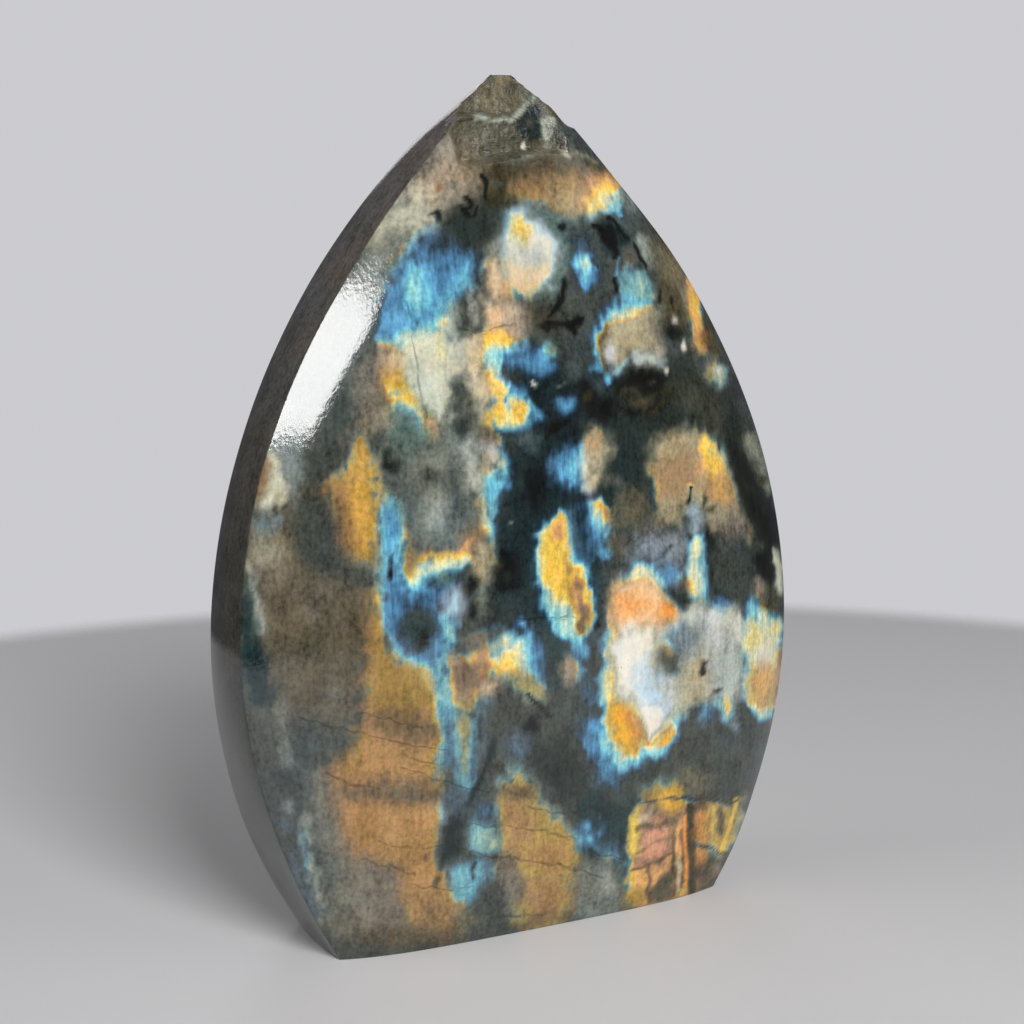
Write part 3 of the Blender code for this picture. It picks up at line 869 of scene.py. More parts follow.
LEAF = [
    area("blue", 6, (550, 462), (556, 450), (568, 444), (584, 440), (582, 470), (584, 490), (572, 490),
         (556, 488), (549, 480)),
    area("sky", 5, (568, 450), (582, 448), (580, 486), (568, 486), (566, 468)),
    area("pearl", 4, (581, 460), (588, 440), (590, 480), (594, 500), (586, 494), cover=0.8),
    area("tan", 4, (596, 428), (604, 432), (600, 444), (590, 450), (590, 438), cover=0.7),
    area("orange", 5, (590, 440), (602, 440), (600, 460), (590, 460), cover=0.45),
    area("sky", 5, (582, 498), (592, 500), (606, 530), (606, 550), (596, 550), (588, 520)),
    area("royal", 7, (570, 506), (584, 504), (590, 522), (596, 544), (600, 556), (586, 560), (580, 530)),
    area("cream", 5, (588, 498), (598, 502), (612, 532), (606, 538), (596, 518)),
    area("orange", 4, (594, 500), (604, 502), (610, 514), (608, 520), (600, 514)),
    area("beige", 4, (606, 506), (614, 512), (616, 530), (608, 524), cover=0.8),
    area("sky", 4, (600, 544), (609, 548), (610, 560), (602, 560)),
    area("gold", 6, (541, 540), (548, 522), (558, 514), (566, 524), (566, 556), (569, 590), (566, 606),
         (550, 598), (542, 572)),
    area("tan", 5, (556, 516), (564, 514), (566, 532), (560, 542), (553, 530), cover=0.7),
    area("mint", 6, (543, 592), (556, 598), (570, 606), (576, 624), (570, 632), (556, 616),
         (546, 606), cover=0.8),
    line("old_gold", 4, 3, (566, 560), (570, 586), (575, 612), (581, 630)),
    line("blue_grey", 6, 5, (570, 514), (574, 536), (580, 554), cover=0.6),
    spot("brown", 3, (581, 624), (5, 7), cover=0.8),
]

EGG = [
    area("teal_dark", 8, (534, 524), (556, 504), (580, 508), (596, 560), (600, 600), (590, 640), (560, 640),
         (540, 600), (528, 560)),
    area("sky", 6, (534, 548), (538, 532), (550, 518), (564, 510), (574, 524), (580, 546), (592, 568),
         (597, 596), (594, 618), (560, 640), (546, 616), (536, 584)),
    area("yellow", 5, (540, 552), (543, 536), (554, 520), (562, 514), (568, 526), (570, 544), (572, 560),
         (574, 590), (574, 604), (566, 612), (552, 606), (544, 584)),
    area("pale_green", 5, (564, 520), (570, 530), (572, 552), (567, 548), cover=0.6),
    area("tan", 5, (573, 566), (582, 572), (588, 596), (592, 614), (586, 632), (578, 622), (572, 600)),
    area("brown", 6, (576, 580), (586, 590), (590, 612), (582, 620), (576, 606), cover=0.6),
    area("aqua", 5, (544, 598), (554, 602), (566, 604), (574, 620), (584, 640), (588, 656), (578, 656),
         (566, 640), (548, 618)),
    area("mint", 5, (558, 602), (568, 604), (574, 618), (582, 638), (572, 640), (562, 622)),
    area("sky", 5, (572, 640), (586, 646), (584, 668), (578, 680), (572, 660), cover=0.9),
    area("faint_blue", 5, (582, 674), (592, 684), (596, 704), (586, 704), (580, 688)),
    area("pinkish", 5, (566, 656), (578, 662), (574, 684), (564, 684), (560, 672)),
    area("beige", 6, (584, 440), (590, 426), (598, 424), (606, 434), (611, 450), (606, 470), (594, 490),
         (584, 488), (582, 460)),
    area("moss", 7, (616, 492), (640, 488), (646, 516), (626, 526), (614, 510), cover=0.7),
]

RIGHT_GOLD = [
    area("beige", 7, (652, 440), (672, 430), (700, 430), (722, 452), (738, 496), (738, 520), (712, 534),
         (690, 500), (670, 530), (654, 512), (651, 470)),
    area("tan", 7, (664, 452), (696, 440), (700, 470), (690, 500), (672, 500), (656, 500), (654, 474)),
    area("gold", 6, (700, 434), (712, 440), (724, 458), (728, 476), (712, 480), (700, 466)),
    area("yellow", 5, (700, 438), (710, 442), (718, 456), (706, 458)),
    area("old_gold", 6, (706, 476), (728, 478), (736, 506), (716, 510), (708, 496), cover=0.9),
    line("pale_green", 3, 3, (718, 450), (726, 466), (732, 482), (739, 500), cover=0.7),
    line("black", 2.5, 4, (690, 486), (688, 504)),
    line("olive_dark", 3, 4, (706, 498), (703, 510), (704, 522)),
    spot("olive_dark", 3, (711, 509), (5, 3.5), turn=-35),
    area("steel", 5, (690, 504), (702, 502), (704, 534), (690, 536)),
    area("mauve", 8, (714, 512), (740, 508), (748, 524), (736, 546), (716, 540)),
    area("beige", 6, (712, 510), (728, 508), (732, 520), (716, 524), cover=0.7),
    area("black", 5, (728, 440), (740, 444), (756, 470), (764, 500), (776, 520), (782, 548), (772, 552),
         (752, 520), (736, 484)),
    area("ink", 4, (648, 476), (654, 484), (658, 512), (650, 508)),
    area("pale_green", 4, (744, 430), (756, 434), (764, 460), (770, 494), (762, 488), (754, 466), (742, 446)),
    spot("umber", 3, (762, 480), (4, 5)),
    area("black", 5, (758, 552), (770, 548), (774, 572), (764, 582), (756, 566)),
    area("cream_stone", 3, (772, 546), (778, 552), (784, 580), (782, 598), (776, 590), (775, 566)),
    area("pinkish", 4, (754, 578), (764, 584), (762, 600), (754, 598)),
    area("olive", 5, (764, 588), (782, 596), (780, 614), (762, 610)),
    area("charcoal", 8, (730, 430), (746, 436), (756, 470), (764, 510), (752, 520), (738, 480), cover=0.7),
    line("moss", 3, 3, (748, 430), (752, 448), (760, 466), cover=0.7),
]

YELLOW_STRIP = [
    area("aqua", 5, (686, 536), (702, 532), (711, 548), (711, 586), (708, 606), (700, 606), (690, 590),
         (686, 564)),
    area("cream", 4, (690, 544), (698, 536), (705, 544), (706, 576), (702, 588), (692, 584), (688, 568)),
    area("yellow", 5, (692, 548), (702, 544), (704, 560), (692, 562), cover=0.7),
    area("lilac_grey", 8, (634, 532), (672, 530), (688, 546), (684, 590), (664, 592), (644, 560), (630, 560)),
    area("blue", 5, (656, 566), (678, 562), (680, 586), (666, 592), (656, 578), cover=0.75),
    line("charcoal", 3, 4, (665, 555), (671, 546)),
    area("mauve", 7, (640, 520), (666, 520), (660, 532), (642, 534), cover=0.6),
    area("mauve", 4, (610, 478), (620, 476), (622, 486), (612, 487), cover=0.7),
    area("faint_sky", 6, (634, 560), (648, 556), (656, 572), (668, 590), (656, 590), (640, 570)),
    area("umber", 5, (680, 576), (694, 580), (696, 596), (684, 594)),
    area("gold", 7, (700, 462), (722, 468), (735, 500), (727, 511), (708, 490), cover=0.5),
    area("cream", 4, (688, 546), (698, 533), (703, 560), (704, 596), (694, 604), (687, 588), cover=0.85),
    area("pale_blue", 4, (690, 504), (698, 501), (702, 532), (690, 536), (686, 520), cover=0.45),
    line("black", 3, 5, (707, 533), (711, 548), (707, 562), (713, 580), cover=0.7),
]

BIG_PATCH = [
    area("blue", 9, (586, 720), (604, 716), (612, 752), (624, 772), (616, 790), (600, 784), (590, 760),
         (582, 744)),
    area("sky", 6, (600, 690), (606, 640), (612, 598), (632, 568), (646, 562), (664, 584), (684, 600),
         (690, 640), (684, 720), (676, 744), (656, 764), (644, 760), (630, 776), (616, 772), (604, 744)),
    area("cream", 5, (604, 690), (606, 660), (608, 630), (612, 604), (632, 576), (646, 570), (662, 584),
         (676, 602), (684, 640), (682, 700), (676, 730), (656, 752), (644, 748), (634, 752), (626, 764),
         (616, 758), (607, 734)),
    area("gold", 6, (606, 672), (612, 636), (617, 650), (616, 700), (622, 704), (636, 706), (646, 730),
         (640, 746), (630, 758), (618, 750), (608, 726)),
    area("flame", 5, (608, 702), (622, 700), (634, 724), (638, 746), (627, 757), (614, 744)),
    area("ember", 5, (622, 702), (633, 706), (644, 730), (642, 747), (634, 745), (627, 728), cover=0.8),
    area("lilac_white", 6, (658, 626), (682, 616), (684, 626), (664, 640)),
    area("teal_dark", 6, (654, 658), (666, 650), (686, 652), (688, 668), (672, 680), (658, 672)),
    area("bright_peach", 6, (614, 586), (632, 572), (650, 574), (664, 590), (675, 612), (664, 628),
         (642, 624), (614, 642), (608, 606)),
    area("cream", 6, (624, 576), (638, 562), (650, 568), (660, 584), (646, 580), (632, 582)),
    area("warm_white", 8, (613, 644), (640, 626), (658, 634), (654, 660), (652, 684), (662, 704),
         (660, 726), (648, 730), (634, 704), (614, 692)),
    area("lilac_white", 7, (656, 676), (680, 672), (682, 700), (676, 716), (664, 716),
         (656, 698), cover=0.8),
    area("olive", 6, (653, 656), (662, 648), (680, 649), (684, 660), (674, 672), (657, 671), cover=0.8),
    area("warm_white", 6, (613, 636), (632, 624), (650, 628), (655, 642), (646, 654), (634, 700),
         (618, 694)),
    area("pale_blue", 7, (634, 660), (650, 644), (653, 676), (662, 690), (664, 720), (652, 724),
         (640, 700)),
    area("ember", 5, (616, 590), (640, 596), (652, 602), (640, 612), (622, 622), (613, 612), cover=0.6),
    area("ember", 4, (660, 604), (672, 600), (678, 614), (670, 624), (660, 618)),
    area("warm_white", 3.4, (640, 700), (662, 710), (663, 722), (654, 732), (649, 743), (644, 730)),
    line("brown", 3.4, 4, (640, 722), (646, 738), (652, 746), (660, 736), (670, 727), cover=0.5),
    area("flame", 3.4, (655, 748), (660, 739), (674, 729), (676, 736), (666, 746), cover=0.85),
    line("mint", 5, 5, (606, 746), (615, 764), (626, 770), (636, 762), (642, 753), (656, 756), cover=0.8),
]

STREAKED = [
    area("pale_grey", 7, (686, 606), (708, 598), (712, 614), (742, 604), (746, 640), (742, 700), (726, 704),
         (700, 700), (684, 716), (678, 700), (682, 640)),
    area("steel", 6, (668, 638), (682, 622), (708, 616), (704, 650), (690, 660), (680, 650)),
    area("pale_grey", 5, (690, 606), (706, 604), (702, 622), (692, 628)),
    area("cream_stone", 5, (684, 608), (694, 606), (694, 618), (686, 618), cover=0.7),
    area("cream_stone", 6, (714, 608), (736, 606), (738, 624), (724, 630), (712, 622), cover=0.8),
    area("white", 5, (736, 618), (742, 616), (743, 640), (738, 642)),
    area("beige", 7, (684, 664), (702, 656), (708, 690), (694, 706), (682, 700)),
    area("black", 2.5, (702, 660), (708, 658), (705, 664), (704, 676), (699, 676), (701, 666)),
    area("blue", 5, (712, 594), (726, 592), (734, 604), (724, 612), (712, 608)),
    area("aqua", 5, (746, 600), (756, 594), (762, 610), (756, 622), (744, 624)),
    area("mint", 5, (744, 618), (768, 612), (782, 618), (782, 640), (779, 670), (774, 700), (772, 722),
         (758, 722), (748, 712), (744, 690), (746, 660), (742, 640)),
    area("cream", 6, (746, 624), (766, 618), (781, 622), (780, 640), (776, 690), (770, 714), (758, 714),
         (748, 704), (748, 660)),
    area("yellow", 6, (748, 626), (760, 622), (762, 650), (752, 656), (746, 644)),
    area("gold", 5, (768, 618), (781, 616), (780, 630), (772, 630), cover=0.8),
    area("pearl", 6, (756, 648), (770, 646), (768, 670), (756, 668)),
        area("faint_aqua", 5, (718, 702), (724, 704), (730, 726), (722, 716)),
    area("orange", 4, (722, 698), (732, 700), (733, 720), (727, 716)),
    area("lilac_grey", 4, (733, 712), (738, 716), (737, 732), (731, 730)),
    area("faint_blue", 6, (698, 706), (716, 700), (720, 716), (704, 728)),
    line("faint_sky", 4, 4, (702, 712), (703, 728), cover=0.8),
    spot("black", 2.5, (716, 692), (5, 3), cover=0.8),
    line("cream", 4, 5, (718, 698), (722, 712), (726, 726), cover=0.8),
    area("slate", 8, (706, 540), (740, 538), (752, 560), (748, 596), (712, 596), (704, 570), cover=0.7),
    area("blue", 7, (658, 560), (672, 556), (678, 580), (666, 592), (658, 580), cover=0.7),
    area("charcoal", 5, (664, 588), (676, 586), (690, 600), (684, 608), (672, 604)),
    area("lilac_white", 5, (704, 612), (716, 606), (724, 620), (716, 640), (704, 650), cover=0.6),
    area("bright_peach", 6, (748, 666), (774, 664), (774, 684), (768, 704), (752, 704), cover=0.7),
    line("warm_edge", 3, 8, (782, 650), (780, 664), (778, 680), (775, 700)),
    area("flame", 5, (751, 666), (773, 668), (773, 684), (767, 702), (753, 702), cover=0.4),
]

LOWER_DARK = [
    area("blue", 8, (580, 716), (600, 718), (604, 750), (596, 764), (582, 744), cover=0.85),
    area("charcoal", 8, (540, 740), (580, 744), (590, 800), (560, 800), (540, 776)),
    spot("ink", 5, (592, 806), (12, 14), cover=0.8),
]

UPPER_GOLD = [
    area("faint_mint", 7, (484, 640), (500, 630), (514, 644), (504, 656), (488, 652)),
    area("aqua", 5, (514, 634), (528, 636), (532, 650), (532, 672), (524, 680), (518, 650)),
    area("blue", 7, (528, 640), (548, 640), (552, 672), (540, 684), (530, 674)),
    area("cream", 6, (496, 648), (514, 638), (526, 638), (527, 672), (516, 680), (498, 676), (488, 660)),
    area("yellow", 6, (504, 650), (516, 650), (520, 662), (514, 672), (504, 672)),
    area("orange", 6, (488, 662), (504, 660), (508, 676), (494, 680), cover=0.7),
    area("copper", 6, (464, 654), (480, 646), (492, 652), (488, 668), (466, 666)),
    area("tan", 7, (450, 656), (468, 662), (490, 668), (492, 682), (474, 700), (466, 714), (456, 712),
         (450, 690)),
    area("brown", 8, (456, 664), (484, 670), (480, 690), (458, 694), cover=0.7),
    area("peach_stone", 6, (478, 682), (500, 676), (508, 684), (492, 692), (478, 696), cover=0.8),
    area("beige", 6, (508, 676), (528, 674), (540, 690), (552, 700), (532, 700), (516, 686)),
    area("pinkish", 5, (449, 650), (458, 656), (456, 668), (450, 666)),
    area("royal", 5, (514, 622), (524, 612), (534, 622), (530, 632), (516, 632)),
    area("sky", 4, (516, 622), (526, 618), (530, 626), (518, 628)),
    area("teal_dark", 7, (546, 624), (566, 640), (572, 662), (560, 690), (548, 684), (548, 650)),
    area("beige", 5, (456, 694), (476, 700), (476, 716), (462, 716), cover=0.7),
    area("gold", 5, (460, 714), (472, 716), (470, 740), (462, 744), (458, 730), cover=0.8),
    area("mint", 5, (470, 716), (480, 714), (476, 750), (474, 786), (466, 790), (462, 760)),
    line("cream", 4, 3, (456, 716), (458, 738), (460, 760), cover=0.7),
    area("brown", 5, (452, 664), (464, 660), (478, 672), (474, 690), (458, 684), cover=0.6),
    line("aqua", 4, 3.5, (528, 640), (530, 658), (528, 674), cover=0.9),
    line("aqua", 5, 5, (466, 642), (480, 630), (494, 624), cover=0.5),
    line("royal", 6, 6, (536, 640), (540, 670), (552, 684), cover=0.6),
    area("faint_green", 7, (500, 684), (516, 676), (540, 684), (548, 704), (532, 700),
         (516, 690), cover=0.9),
    line("black", 2, 3.5, (528, 694), (536, 702), (544, 712), (550, 717)),
    line("sky", 5, 4, (580, 664), (588, 684), (594, 700), cover=0.7),
]

HUMP = [
    line("cream", 5, 5, (504, 782), (511, 772), (518, 780), cover=0.8),
    line("faint_mint", 6, 5, (552, 808), (566, 824), (580, 850), cover=0.7),
    area("lilac_grey", 7, (500, 866), (518, 868), (524, 900), (512, 910), (500, 890), cover=0.5),
    area("black", 3.5, (524, 722), (536, 714), (540, 722), (532, 732), (524, 732)),
    area("blue_grey", 7, (504, 738), (520, 730), (530, 744), (524, 760), (506, 756), cover=0.7),
    area("faint_mint", 5, (506, 764), (516, 760), (528, 772), (530, 782), (512, 784), cover=0.8),
    area("royal", 6, (580, 716), (596, 724), (604, 750), (606, 780), (594, 772), (582, 744), cover=0.7),
]

LOWER_MIDDLE = [
    area("brass", 7, (500, 786), (512, 770), (522, 772), (536, 790), (556, 814), (570, 826), (580, 850),
         (576, 880), (566, 916), (552, 930), (520, 932), (508, 910), (520, 880), (506, 860), (496, 820)),
    area("earth", 6, (502, 786), (532, 786), (536, 800), (504, 802), cover=0.9),
    area("old_copper", 8, (500, 804), (524, 800), (534, 812), (534, 846), (510, 850), (502, 830)),
    area("old_gold", 8, (524, 838), (570, 838), (576, 864), (552, 874), (526, 870)),
    area("old_copper", 8, (530, 872), (566, 872), (566, 900), (552, 918), (528, 916)),
    area("mauve", 8, (498, 858), (520, 860), (524, 900), (510, 912), (498, 890)),
    area("faint_mint", 6, (468, 826), (500, 816), (500, 854), (474, 852)),
    area("faint_aqua", 6, (470, 826), (484, 824), (482, 856), (468, 850)),
    area("faint_blue", 5, (476, 806), (496, 804), (494, 826), (478, 824)),
    area("faint_sky", 6, (450, 862), (486, 852), (494, 868), (480, 900), (456, 904), (448, 880)),
    line("teal_dark", 2.5, 3, (475, 864), (472, 872), (473, 880)),
    area("moss", 7, (454, 908), (478, 914), (474, 934), (454, 938), cover=0.8),
    area("umber", 6, (510, 922), (570, 908), (570, 920), (510, 934), cover=0.6),
    area("slate", 7, (482, 886), (498, 882), (502, 908), (486, 916), (478, 904), cover=0.8),
]

LOWER_GOLD = [
    area("aqua", 6, (396, 646), (410, 644), (428, 656), (440, 670), (446, 692), (446, 740), (440, 770),
         (430, 760), (420, 680), (396, 660)),
    area("old_gold", 8, (374, 588), (382, 590), (386, 640), (400, 664), (420, 668), (434, 684), (438, 720),
         (438, 790), (446, 812), (440, 840), (446, 868), (456, 900), (456, 934), (406, 934), (398, 880),
         (380, 866), (356, 862), (336, 820), (330, 770), (360, 738), (366, 700), (370, 640)),
    area("ochre", 8, (376, 640), (396, 664), (420, 674), (430, 700), (420, 730), (380, 724), (370, 690)),
    area("brass", 7, (406, 660), (430, 668), (436, 690), (424, 684), cover=0.7),
    area("earth", 8, (384, 712), (440, 722), (440, 748), (380, 736), (366, 724), cover=0.7),
    area("taupe", 8, (336, 782), (440, 786), (440, 806), (340, 804), cover=0.9),
    area("old_gold", 9, (344, 808), (400, 804), (430, 812), (434, 836), (400, 840), (350, 836)),
    area("cream", 4, (440, 800), (447, 810), (446, 824), (441, 818), cover=0.8),
    area("mauve", 9, (352, 862), (400, 868), (404, 900), (410, 932), (356, 932), (346, 880)),
    area("old_copper", 8, (398, 872), (420, 878), (452, 884), (454, 926), (416, 932), (404, 900)),
    area("earth", 8, (336, 936), (410, 926), (460, 928), (460, 944), (400, 952), cover=0.8),
    area("ink", 5, (446, 822), (462, 812), (466, 836), (462, 852), (452, 860), (440, 872), (436, 862),
         (442, 840)),
    spot("umber", 3, (437, 882), (3, 6), turn=25),
    spot("umber", 3, (426, 858), (2.5, 4), cover=0.7),
    spot("brown", 4, (442, 906), (8, 2), cover=0.5),
]

LOWER_LEFT = [
    spot("blue_grey", 5, (290, 828), (5, 5), cover=0.6),
    line("faint_sky", 6, 8, (304, 836), (306, 856), (309, 870)),
    line("pale_grey", 4, 4, (304, 812), (306, 824), cover=0.6),
    line("stone", 5, 5, (316, 870), (320, 890), (322, 906), cover=0.8),
    line("pale_green", 4, 4, (312, 880), (318, 900), cover=0.5),
    line("blue_grey", 5, 5, (288, 850), (296, 870), (306, 896), (318, 912), cover=0.7),
    area("moss", 10, (322, 900), (344, 890), (352, 930), (332, 936), cover=0.4),
    area("stone", 14, (300, 780), (330, 800), (350, 860), (370, 920), (340, 930), (318, 880), cover=0.6),
    line("pale_grey", 5, 5, (303, 820), (309, 850), (318, 890), (328, 920), cover=0.4),
    area("cream_stone", 6, (252, 536), (270, 533), (288, 541), (288, 556), (264, 566),
         (250, 560), cover=0.35),
    area("pinkish", 6, (252, 550), (288, 560), (288, 582), (264, 592), (253, 572), cover=0.3),
    # painted reflection: the darkest part of the surroundings mirrored on the rounded left edge
    area("ink", 4, (250, 642), (261, 642), (267, 662), (274, 690), (272, 705), (257, 702),
         (248, 676), cover=0.6),
]

FIERY = [
    area("teal_dark", 8, (578, 800), (626, 800), (640, 800), (632, 860), (628, 900), (600, 880), (580, 850)),
    area("royal", 6, (598, 818), (612, 816), (610, 838), (596, 840), cover=0.8),
    area("sky", 6, (578, 822), (596, 824), (596, 846), (580, 846)),
    area("faint_blue", 6, (596, 838), (624, 838), (626, 862), (604, 868), cover=0.8),
    area("stone", 8, (576, 864), (610, 858), (624, 872), (622, 904), (580, 912)),
    area("pale_grey", 6, (600, 876), (614, 874), (612, 896), (602, 898), cover=0.6),
    area("orange", 5, (638, 802), (656, 788), (680, 786), (688, 800), (706, 808), (708, 860), (700, 888),
         (690, 894), (650, 906), (626, 910), (628, 882), (630, 862), (628, 842), (630, 822)),
    area("faint_green", 6, (640, 786), (660, 778), (684, 782), (680, 792), (650, 794), cover=0.9),
    area("earth", 6, (640, 796), (654, 790), (658, 806), (644, 810), cover=0.8),
    area("mauve", 5, (642, 806), (660, 806), (664, 816), (644, 816), cover=0.9),
    area("tan", 6, (658, 808), (684, 806), (684, 820), (662, 818), cover=0.8),
    area("brown", 5, (664, 812), (682, 812), (682, 824), (664, 824), cover=0.9),
    area("orange", 6, (632, 872), (648, 872), (648, 892), (630, 894)),
    area("ochre", 6, (626, 890), (648, 888), (648, 904), (622, 910), cover=0.9),
    area("olive", 5, (650, 886), (662, 876), (672, 872), (676, 896), (652, 902)),
    line("umber", 2, 3, (673, 830), (674, 860), (675, 894), cover=0.9),
    area("brown", 5, (684, 804), (700, 806), (696, 820), (686, 820), cover=0.7),
    area("umber", 5, (696, 798), (722, 796), (712, 808), (698, 810), cover=0.9),
    area("brass", 5, (706, 806), (716, 812), (720, 840), (730, 820), (736, 800), (744, 790), (742, 824),
         (728, 856), (712, 860), (706, 840)),
    area("yellow", 5, (711, 832), (720, 842), (728, 828), (734, 812), (738, 804), (738, 820), (728, 850),
         (716, 852)),
    area("earth", 6, (696, 864), (722, 862), (722, 880), (704, 892), (694, 892), cover=0.9),
    spot("beige", 4, (715, 868), (5, 5), cover=0.7),
    area("rose", 6, (640, 822), (656, 818), (670, 826), (671, 850), (660, 862), (642, 866), (636, 850),
         (638, 832)),
    area("umber", 6, (694, 856), (712, 858), (714, 872), (700, 880), (693, 872), cover=0.8),
    area("brass", 5, (708, 804), (726, 802), (736, 800), (740, 812), (730, 840), (716, 856), (708, 836)),
    area("moss", 6, (674, 772), (700, 766), (712, 780), (706, 794), (684, 792), cover=0.8),
    area("warm_white", 4, (640, 816), (652, 814), (652, 821), (640, 824), cover=0.6),
    area("sun", 4, (636, 806), (641, 806), (637, 824), (638, 850), (632, 856), (627, 840), (629, 820)),
    line("umber", 3, 5, (638, 829), (652, 824), (672, 824), cover=0.7),
    line("ember", 2, 5, (685, 818), (685, 888)),
    line("olive_dark", 2.5, 8, (691, 806), (691.5, 893)),
    area("ember", 4, (695, 814), (706, 812), (706, 846), (704, 866), (695, 864), cover=0.7),
    line("sun", 3, 7, (737, 799), (734, 814), (727, 834), (723, 850), cover=0.8),
    area("flame", 5, (655, 792), (681, 790), (684, 802), (680, 811), (664, 812), (655, 806), cover=0.8),
    line("brown", 2, 2.4, (636, 852), (654, 845), (672, 836), cover=0.8),
    line("umber", 2, 2.4, (633, 870), (650, 865), (672, 854), cover=0.8),
    line("umber", 2, 2.6, (648.5, 868), (649, 902), cover=0.9),
    line("warm_white", 2, 3, (679, 860), (679, 890), cover=0.8),
    line("umber", 1.5, 2.2, (682, 830), (682, 890), cover=0.7),
    line("charcoal", 2, 2.4, (632, 801), (650, 804), (682, 797), (706, 799), (738, 801), cover=0.8),
    line("charcoal", 2, 2.6, (694, 844), (708, 848), (726, 854), cover=0.8),
    line("sun", 3, 4, (713, 807), (714, 832), cover=0.6),
    area("olive", 3, (716, 808), (723, 808), (724, 832), (718, 836), cover=0.8),
    line("warm_edge", 3, 7, (622, 911), (650, 905), (690, 894), (715, 884)),
]

# Thin dark cracks. Those that lie across and those that stand up are kept apart, so that two
# that cross don't spoil each other.
CRACK_REACH = 7.0          # pixels to either side that a crack is known of
CRACK_LINES = {
    "level_crack": (
        ((338, 727), (360, 733), (384, 739), (404, 743), (430, 747), (444, 749)),
        ((300, 718), (320, 724), (340, 728)),
        ((360, 712), (390, 720), (420, 728)),
        ((404, 755), (420, 760), (436, 765)),
        ((328, 772), (340, 780), (356, 785), (376, 788)),
        ((404, 768), (420, 773), (440, 780), (460, 787), (486, 793)),
        ((378, 842), (400, 847), (430, 849), (440, 846)),
        ((364, 860), (384, 865), (400, 869), (412, 874)),
        ((414, 884), (430, 888), (452, 890), (470, 888)),
        ((474, 824), (488, 827), (506, 826), (522, 830), (544, 831), (556, 834), (572, 837)),
        ((464, 847), (482, 853), (492, 858), (512, 857), (540, 862), (566, 868), (600, 876)),
        ((500, 916), (516, 914), (540, 916)),
        ((532, 809), (556, 812), (576, 813)),
        ((590, 850), (604, 856), (620, 858)),
        ((520, 618), (548, 618), (570, 616)),
        ((462, 328), (480, 332), (500, 328), (512, 324)),
    ),
    "upright_crack": (
        ((408, 305), (412, 330), (416, 360), (420, 388), (426, 415)),
        ((505, 786), (512, 778), (520, 772)),
    ),
}

# Small black flaws near the top, which are colour alone.
BLACK_FLAWS = [
    line("black", 2.5, 4, (466, 196), (471, 200), (472, 206), (465, 208), (461, 204)),
    line("black", 2.5, 3.5, (463, 211), (469, 217), (475, 214), (477, 207)),
    area("ink", 3, (427, 214), (436, 208), (440, 210), (440, 222), (436, 220), (434, 214)),
]

# Later marks lie over earlier ones, so the groups' order matters.
MARKS = (GROUND + LEFT_MIDDLE + TIP + SHOULDER + BAND + PEARL + RIGHT_RIM + ARCH + BLUE_PATCH + UPPER_MIDDLE
         + GREY_PATCH + GOLD_COLUMN + ROUGH_LEFT + DEEP_CENTRE + RIGHT_STRIP + LOWER_GOLD + UPPER_GOLD
         + CHANNEL + HUMP + LOWER_MIDDLE + LOWER_DARK + EGG + LEAF + RIGHT_GOLD + YELLOW_STRIP + BIG_PATCH
         + STREAKED + FIERY + LOWER_LEFT + BLACK_FLAWS)


def blank_channels(count):
    """Plain dark stone for this many places, before any mark."""
    return {"tone": np.tile(np.array((74.0, 80.0, 77.0)), (count, 1)), "level": np.full(count, 0.1),
            "flash": np.zeros(count), "silver": np.zeros(count), "pit": np.zeros(count),
            **{name + kind: np.full(count, start) for name in CRACK_LINES
               for kind, start in (("_side", CRACK_REACH), ("_near", 0.0))}}


def warped(places):
    """Places moved a few pixels by noise, mostly along the streaks, so no outline is even."""
    x, y = places[:, 0], places[:, 1]
    across = 1.5 * value_noise(x / 8.0, y / 10.0, 1) + 1.0 * value_noise(x / 4.0, y / 5.5, 2)
    down = 1.6 * value_noise(x / 6.0, y / 12.0, 3) + 1.8 * value_noise(x / 9.0, y / 8.0, 4)
    return places + np.stack((across, down), 1)


def outward(points):
    """Directions square to the surface at each point of the grid."""
    along = np.roll(points, -1, axis=1) - np.roll(points, 1, axis=1)
    up = np.gradient(points, axis=0)
    facing = np.cross(along, up)
    return facing / np.maximum(np.linalg.norm(facing, axis=2, keepdims=True), 1e-12)


def sink_pits(points, pits, depth):
    """Move the points in pits inwards by the pit's share of the depth."""
    return points - outward(points) * (pits.reshape(points.shape[:2]) * depth)[..., None]


def inside_box(points):
    """Keep every point within the solid's own box."""
    return np.clip(points, np.array(NODE_LOW), np.array(NODE_HIGH))


def smooth_faces(mesh, count):
    """Smooth shading everywhere but the flat foot and tip, whose rims stay crisp."""
    smooth = np.ones(len(mesh.polygons), bool)
    smooth[-2:] = False
    mesh.polygons.foreach_set("use_smooth", smooth)
    ends = np.empty(2 * len(mesh.edges), int)
    mesh.edges.foreach_get("vertices", ends)
    rows = ends.reshape(-1, 2) // count
    rims = (rows == 0).all(1) | (rows == ROWS - 1).all(1)
    mesh.edges.foreach_set("use_edge_sharp", rims)


def smooth_column(heights, column):
    """Read one column of SECTIONS at the given heights, on a cubic through its values."""
    rows = np.array(SECTIONS) * MM
    z = rows[:, 0]
    value = rows[:, column]
    slope = np.gradient(value, z)
    i = np.clip(np.searchsorted(z, heights, side="right") - 1, 0, len(z) - 2)
    span = z[i + 1] - z[i]
    t = (heights - z[i]) / span
    start = (2 * t**3 - 3 * t**2 + 1) * value[i] + (t**3 - 2 * t**2 + t) * span * slope[i]
    end = (3 * t**2 - 2 * t**3) * value[i + 1] + (t**3 - t**2) * span * slope[i + 1]
    return start + end


def dome(u):
    """Fall of a domed face from 1 at its middle to 0 where it meets the walls, u = -1 to 1."""
    return 1.0 - DOME_CROWN * u**2 - (1.0 - DOME_CROWN) * np.abs(u) ** DOME_SHOULDER


